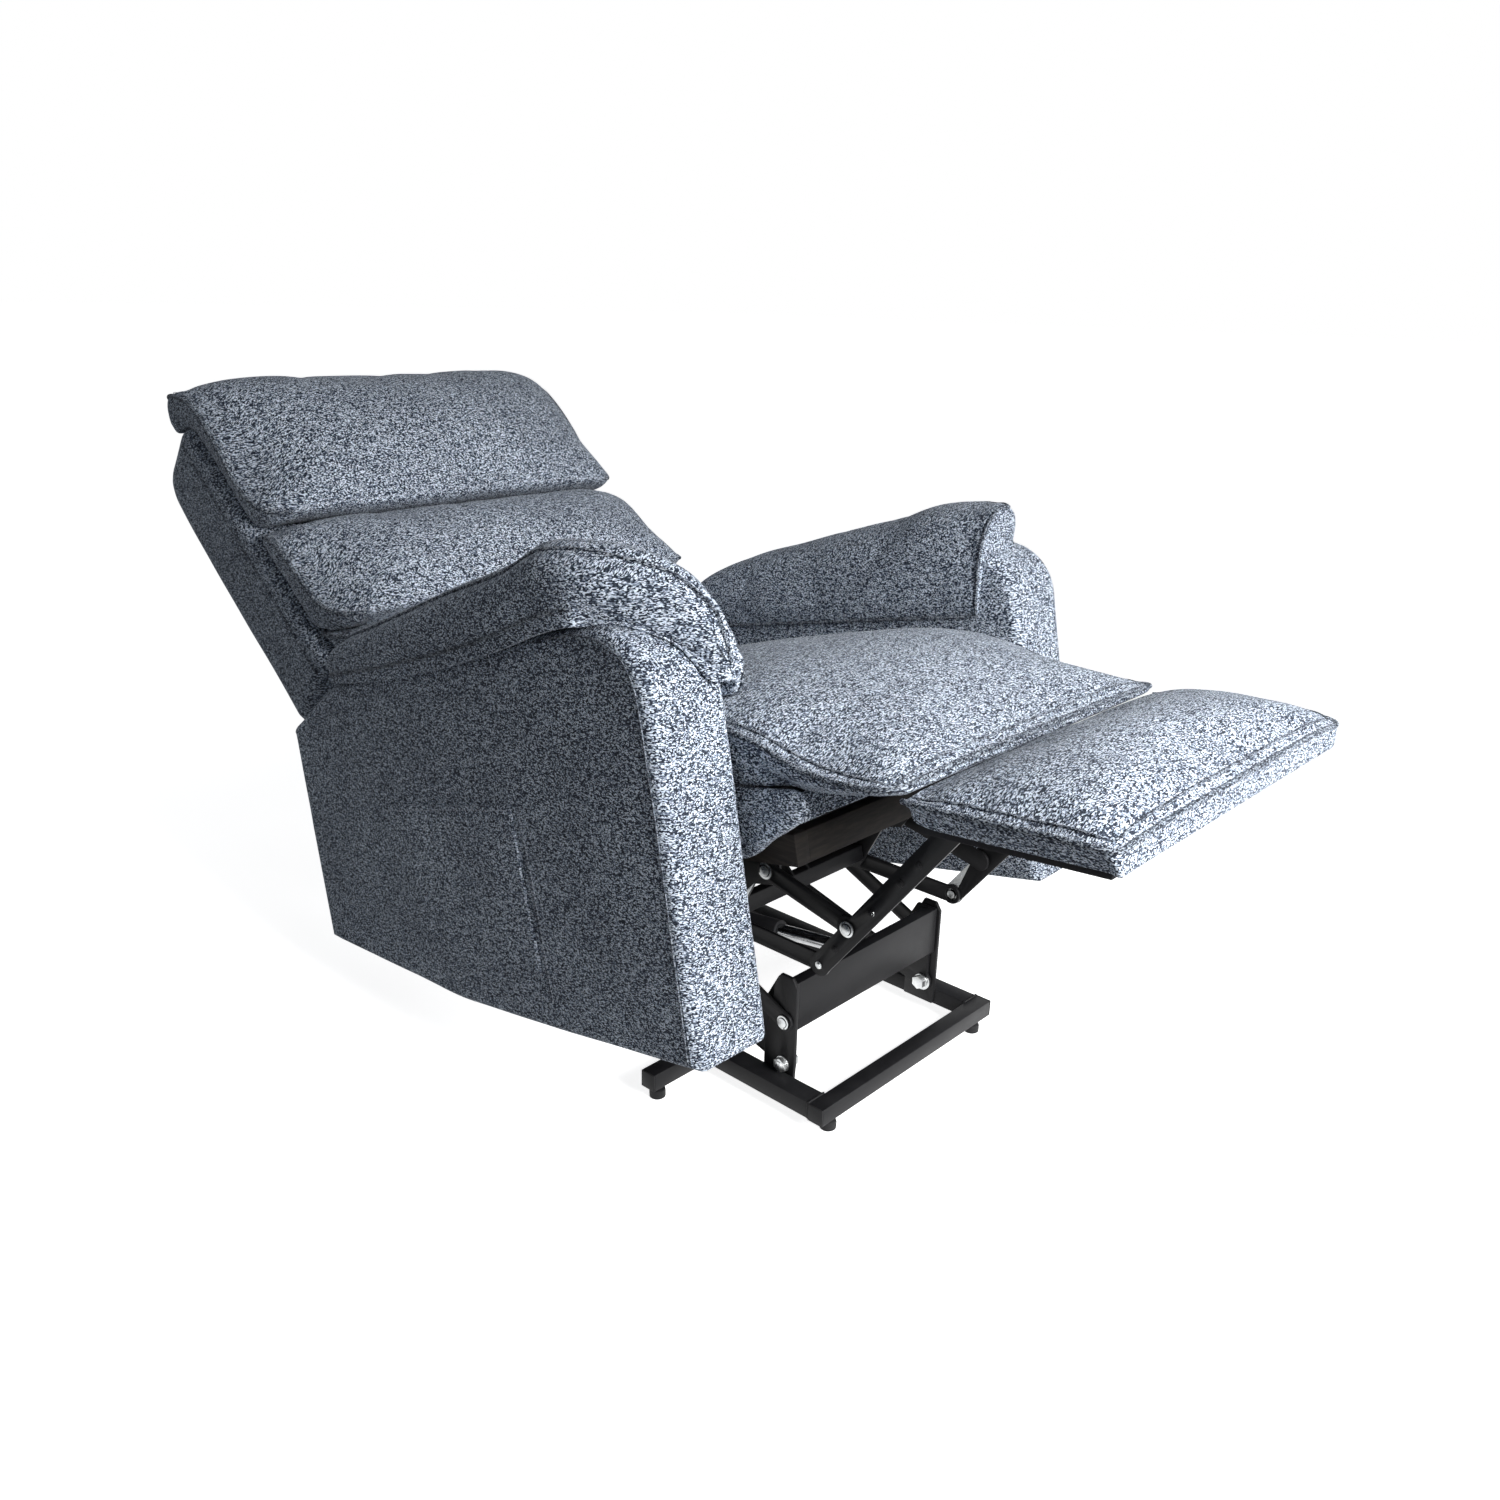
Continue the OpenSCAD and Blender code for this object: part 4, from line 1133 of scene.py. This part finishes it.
left_pad, left_lines = arm_pad("arm_pad_left_cover", 3, True, 6.1)
other_pad, right_lines = arm_pad("arm_pad_other", 9, False, 8.3)
right_pad = mirrored(other_pad, "arm_pad_right_cover")
bpy.data.objects.remove(other_pad)
finish_soft(left_pad, "carriage", "cushion_fabric", 0.7, "arm_pad_left")
finish_soft(right_pad, "carriage", "cushion_fabric", 0.7, "arm_pad_right")
for hand, paths, side in (("left", left_lines, 1), ("right", right_lines, -1)):
    paths = [[p * Vector((side, 1, 1)) for p in path] for path in paths]
    welt("arm_pad_" + hand + "_welts", paths, "carriage", "cushion_fabric", 0.0026)

# %% [markdown]
# ## Back shell
# The shell behind the cushions is padded board: narrow where it drops between the arms and wide
# above them, with big soft corners at the rear.

# %% Back shell
SHELL_FRONT, SHELL_THICK = -40, 168
# Each row: along, half width, front face, how far the rear comes in, radius of the rear corners.
low_rows = [
    (-40, 284, -44, 12, 20),
    (-20, 290, -40, 0, 30),
    (190, 290, -40, 0, 36),
    (205.9, 290, -40, 0, 36),
]
high_rows = [
    (206, 290, -40, 0, 36),
    (224, 339, -40, 0, 40),
    (240, 347, -42, 0, 44),
    (400, 347, -40, 0, 46),
    (600, 347, -40, 0, 46),
    (680, 347, -40, 2, 48),
    (708, 344, -44, 10, 46),
    (722, 338, -56, 26, 38),
    (729, 327, -76, 48, 22),
]


def mirror_line(line):
    return [(-x, z) for x, z in line[::-1]]


def shell_ring(row, a, b):
    along, wide, front, rear_in, corner = row
    rear = SHELL_FRONT - SHELL_THICK + rear_in
    edge = min(18, wide * 0.2)
    front_centre, rear_centre = (wide - edge, front - edge), (wide - corner, rear + corner)
    front_right = arc(front_centre, edge, 90, 45, 6)
    right_line = arc(front_centre, edge, 45, 0, 6) + arc(rear_centre, corner, 0, -45, 6)
    rear_right = arc(rear_centre, corner, -45, -90, 6)
    front_line = mirror_line(front_right) + front_right
    rear_line = rear_right + mirror_line(rear_right)
    ring = outline([front_line, right_line, rear_line, mirror_line(right_line)], a, b)
    return [(x, along, z) for x, z in ring]


def joined(skins):
    """Several skins as the points and faces of one piece."""
    points, faces = [], []
    for more_points, more_faces in skins:
        faces += [tuple(i + len(points) for i in face) for face in more_faces]
        points += list(more_points)
    return np.array(points), faces


blocks = []
for rows in (low_rows, high_rows):
    table = np.array(rows, float)
    first, last = table[0, 0], table[-1, 0]
    spaced = np.linspace(first, last, max(6, int((last - first) / 10)))
    fine = np.unique(np.concatenate([spaced, table[:, 0]]))
    blocks.append(skin([shell_ring(row, 56, 18) for row in eased(table[:, 0], table, fine)], 56, 18))
points, faces = joined(blocks)
shell = board_cover("back_shell_cover", in_back, points, faces, 0.2, 0.002, 8.8)
finish_soft(shell, "back", "cover_fabric", None, "back_shell")
shell_seam = [(346.5, s, -72) for s in np.linspace(232, 690, 60)] + [(342, 706, -76), (334, 718, -82)]
shell_paths = [
    [Vector(in_back([(side * x, s, z)])[0]) for x, s, z in shell_seam] for side in (1, -1)
]
welt("back_shell_welts", shell_paths, "back", "cover_fabric", 0.0028)

# %% [markdown]
# ## Skirt of the seat box
# Under the cushion, the box sides and front are covered too. The side covers end in a soft rounded
# bulge at the front.

# %% Seat box cover
SKIRT_REAR = 464
cover_bottom = eased_line([(28, 205), (200, 205), (SKIRT_REAR, 205)])
cover_rear = [(SKIRT_REAR, 205), (SKIRT_REAR, 292)]
cover_top = [(SKIRT_REAR, 292), (-42, 292)]
bulge = [(-42, 292), (-60, 294), (-73, 288), (-78, 275), (-70, 261)]
cover_front = eased_line(bulge + [(-46, 246), (-18, 232), (6, 214), (28, 205)])
ring = outline([cover_bottom, cover_rear, cover_top, cover_front], 50, 12)
points, faces = slab(ring, 50, 12, 262.3, 274.3, 5.5, layers=2)
for p in points:
    if p[0] > 270:
        room = np.clip(min(p[1] + 78, SKIRT_REAR - p[1], p[2] - 203, 300 - p[2]) / 40, 0, 1)
        p[0] += 7 * math.sin(room * math.pi / 2)
band = [(-56, 251), (-46, 251), (-46, 283), (-56, 283), (-56, 251)]
front_ring = outline([band[i : i + 2] for i in range(4)], 4, 10)
front_rings = []
for x in np.linspace(-262, 262, 54):
    sway = 1.2 * math.sin(x / 60)
    front_rings.append([(x, y + (sway if y < -50 else 0), z) for y, z in front_ring])
points, faces = joined([(points, faces), (points * [-1, 1, 1], faces), skin(front_rings, 4, 10)])
skirt = board_cover("seat_box_cloth", in_box, points, faces, 0.09, 0.0016, 12.5)
finish_soft(skirt, "seat", "cover_fabric", None, "seat_box_cover")

# %% [markdown]
# ## Side pocket
# The near arm carries a flat pocket with a turned hem at its mouth.

# %% Pocket
pocket_bottom = eased_line([(546, 55), (400, 66), (258, 78)])
pocket_front = [(258, 78), (264, 200), (264, 292)]
pocket_top = [(264, 292), (561, 269)]
pocket_rear = [(561, 269), (555, 137), (546, 55)]
ring = outline([pocket_bottom, pocket_front, pocket_top, pocket_rear], 44, 34)
points, faces = slab(ring, 44, 34, ARM_OUTER + 0.4, ARM_OUTER + 6, 2.6, layers=1)
for p in points:
    if p[0] > ARM_OUTER + 3:
        from_side = np.clip(min(p[1] - 258, 556 - p[1], 60) / 60, 0, 1)
        p[0] += 3.2 * from_side * np.clip((p[2] - 60) / 80, 0, 1)
points[:, 0] *= -1
pocket = board_cover("pocket_cloth", in_box, points, faces, 0.11, 0.0014, 15.1)
finish_soft(pocket, "carriage", "cover_fabric", None, "side_pocket")

# %% [markdown]
# ## Sewn lines on the arms
# Each arm's outer face is two panels, joined by an upright seam that is stitched down on one side,
# and a thin seam rounds the arch. The pocket's hem has its own row of stitches.

# %% Arm seams and the pocket hem
FACE = ARM_OUTER + 3.7
ARM_STITCH = (0.0062, 0.0042, 0.0014)
HEM_STITCH = (0.0062, 0.0042, 0.0015)


def on_face(line, x):
    return in_box([(x, y, z) for y, z in eased_line(line)])


upright = [(262, 470), (261, 395), (252, 223), (249, 45)]
arch = [(150, 487), (100, 491), (52, 481), (22, 455), (12, 420), (11, 300), (14, 120), (16, 12)]
for hand, side in (("left", 1), ("right", -1)):
    seam_lines = [on_face(upright, side * (FACE - 0.3)), on_face(arch, side * (FACE - 1.6))]
    welt("arm_seams_" + hand, seam_lines, "carriage", "cover_fabric", 0.0012)
    row = on_face([(y - 4, z) for y, z in upright], side * (FACE + 0.1))
    beads("arm_stitches_" + hand, [row], "carriage", "cover_fabric", thread, *ARM_STITCH)
hem = on_face([(560, 262), (420, 274), (268, 285)], -(ARM_OUTER + 9.2))
beads("pocket_stitches", [hem], "carriage", "cover_fabric", thread, *HEM_STITCH)

# %% [markdown]
# ## Steel and plastic
# The engineering model's plates have perfectly sharp edges, which no cut and coated plate has. Each
# one is copied, its loose triangles are merged, and a bevel of half a millimetre or more catches the
# light along every edge.

# %% Softened copies of the hard parts


def softened(node, material, width, segments=2):
    mesh = nodes[node].data.copy()
    solid = bmesh.new()
    solid.from_mesh(mesh)
    bmesh.ops.remove_doubles(solid, verts=solid.verts, dist=2e-6)
    bmesh.ops.dissolve_limit(solid, angle_limit=math.radians(0.6), verts=solid.verts, edges=solid.edges)
    solid.to_mesh(mesh)
    solid.free()
    mesh.name = node + "_finished"
    made = add_object(mesh.name, mesh)
    mesh.materials.clear()
    mesh.materials.append(material)
    mesh.shade_smooth()
    mesh.set_sharp_from_angle(angle=math.radians(32))
    bevel = made.modifiers.new("edges", "BEVEL")
    bevel.width = width
    bevel.segments = segments
    bevel.limit_method = "ANGLE"
    bevel.angle_limit = math.radians(34)
    bevel.use_clamp_overlap = True
    bevel.harden_normals = False
    made.data = plain_mesh(made, mesh.name)
    bpy.data.meshes.remove(mesh)
    made.data.name = node + "_finished"
    made.data.set_sharp_from_angle(angle=math.radians(40))
    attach(made, body_of[node])
    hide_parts(node)
    return made


STUD_RADIUS = 0.0062
LOOSE_PIVOTS = [(-57, 108), (-115, 159), (-5, 81), (48, 27), (-170, 144), (-49, 184), (39, 127)]
pivots = [(joint["pos_m"][1], joint["pos_m"][2]) for joint in frame["joints"] if "pos_m" in joint]
pivots += [tuple(in_box([0, y, z])[1:]) for y, z in LOOSE_PIVOTS]


def bright_studs(obj):
    """The turned studs at the pivots stay bare zinc where they come through the black plates."""
    obj.data.materials.append(zinc)
    count = 0
    for face in obj.data.polygons:
        y, z = face.center.y, face.center.z
        if any((y - a) ** 2 + (z - b) ** 2 < STUD_RADIUS**2 for a, b in pivots):
            face.material_index = 1
            count += 1
    return count


def both_hands(names):
    return [name + hand for name in names for hand in ("_left", "_right")]


BRACKETS_FROM = 0.2622
tubes = ["base_front_tube", "base_rear_tube"] + both_hands(["base_side_rail", "outrigger"])
tubes += ["carriage_cross_tube", "seat_cross_tube", "seat_cross_rails"]
tubes += ["arm_stubs", "carriage_torque_tube"]
plates = both_hands(["base_bracket", "lift_arm", "lift_link", "carriage_plate", "swing_front"])
plates += both_hands(["swing_rear", "seat_plate", "foot_upper_link", "foot_lower_link"])
plates += both_hands(["foot_bar", "footrest_rail"])
plates += ["front_cross_member", "back_hinge_plates", "footrest_cross_bar"]
for name in tubes:
    softened(name, black_steel, 0.0016)
bright = 0
for name in plates:
    bright += bright_studs(softened(name, black_steel, 0.0006))
print(bright, "bright stud faces")
softened("tube_end_caps", black_plastic, 0.0008)
softened("front_pivot_bolts", zinc, 0.0005)
for name in ("lift_motor", "recline_motor"):
    softened(name, motor_plastic, 0.0022, 3)
for name in ("lift_rod", "recline_rod"):
    softened(name, rod_steel, 0.0005)
softened("footrest_board", dust_cloth, 0.0012)
wooden = softened("seat_frame", stained_wood, 0.0010)
wooden.data.materials.append(black_steel)
for face in wooden.data.polygons:
    if abs(face.center.x) > BRACKETS_FROM:
        face.material_index = 1
softened("seat_webbing", webbing, 0.0008)
print(len(tubes) + len(plates) + 9, "hard parts finished")

# %% [markdown]
# ## Welds
# A weld is a row of short ripples in the corner between two tubes. The bead tree from the stitches
# sets them too, with wide, flat beads of the same coated steel.

# %% Weld ripples where the side rails meet the front tube
weld_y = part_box("base_front_tube")[1][1] + 0.0008
weld_lines = []
for name in both_hands(["base_side_rail"]):
    low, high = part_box(name)
    foot = low[2] + 0.002
    corners = [(low[0], foot), (low[0], high[2]), (high[0], high[2]), (high[0], foot)]
    weld_lines.append([(x, weld_y, z) for x, z in corners])
beads("base_welds", weld_lines, "base", "black_steel", black_steel, 0.0016, 0.0026, 0.0040)

# %% [markdown]
# ## Glides
# The frame stands on round plastic glides with ribbed sides. A profile turned about its axis makes
# one, and six copies of its points make the set.

# %% Turned glides


def turned_profile(profile, centre, ribs, sides=28):
    """The profile's (radius, height) pairs turned about a centre; ribs is the depth of its grip."""
    points = []
    for radius, height in profile:
        for k in range(sides):
            grip = ribs if k % 2 and 0.002 < height < 0.010 and radius > 0.009 else 0.0
            angle = 2 * math.pi * k / sides
            x = centre[0] + (radius - grip) * math.cos(angle)
            points.append((x, centre[1] + (radius - grip) * math.sin(angle), height))
    faces = tube_faces(len(profile), sides)
    faces.append(tuple(range(sides)))
    faces.append(tuple((len(profile) - 1) * sides + k for k in range(sides)))
    return points, faces


RIB_DEPTH = 0.0007
glide_profile = [
    (0.0095, 0.0),
    (0.0108, 0.0012),
    (0.0110, 0.0030),
    (0.0110, 0.0095),
    (0.0104, 0.0118),
    (0.0090, 0.0128),
    (0.0066, 0.0132),
    (0.0064, 0.0190),
]
feet = []
for places in ([(0.164, 0.012), (0.164, 0.672)], [(0.270, 0.2166)]):
    for side in (1, -1):
        for x, y in places:
            centre = (side * x, y - FRAME_SHIFT / 1000)
            feet.append(turned_profile(glide_profile, centre, RIB_DEPTH))
glides = make_object("glides_ribbed", *joined(feet), black_plastic)
glides.data.set_sharp_from_angle(angle=math.radians(35))
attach(glides, "base")
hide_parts("glide_feet")
print("six glides")
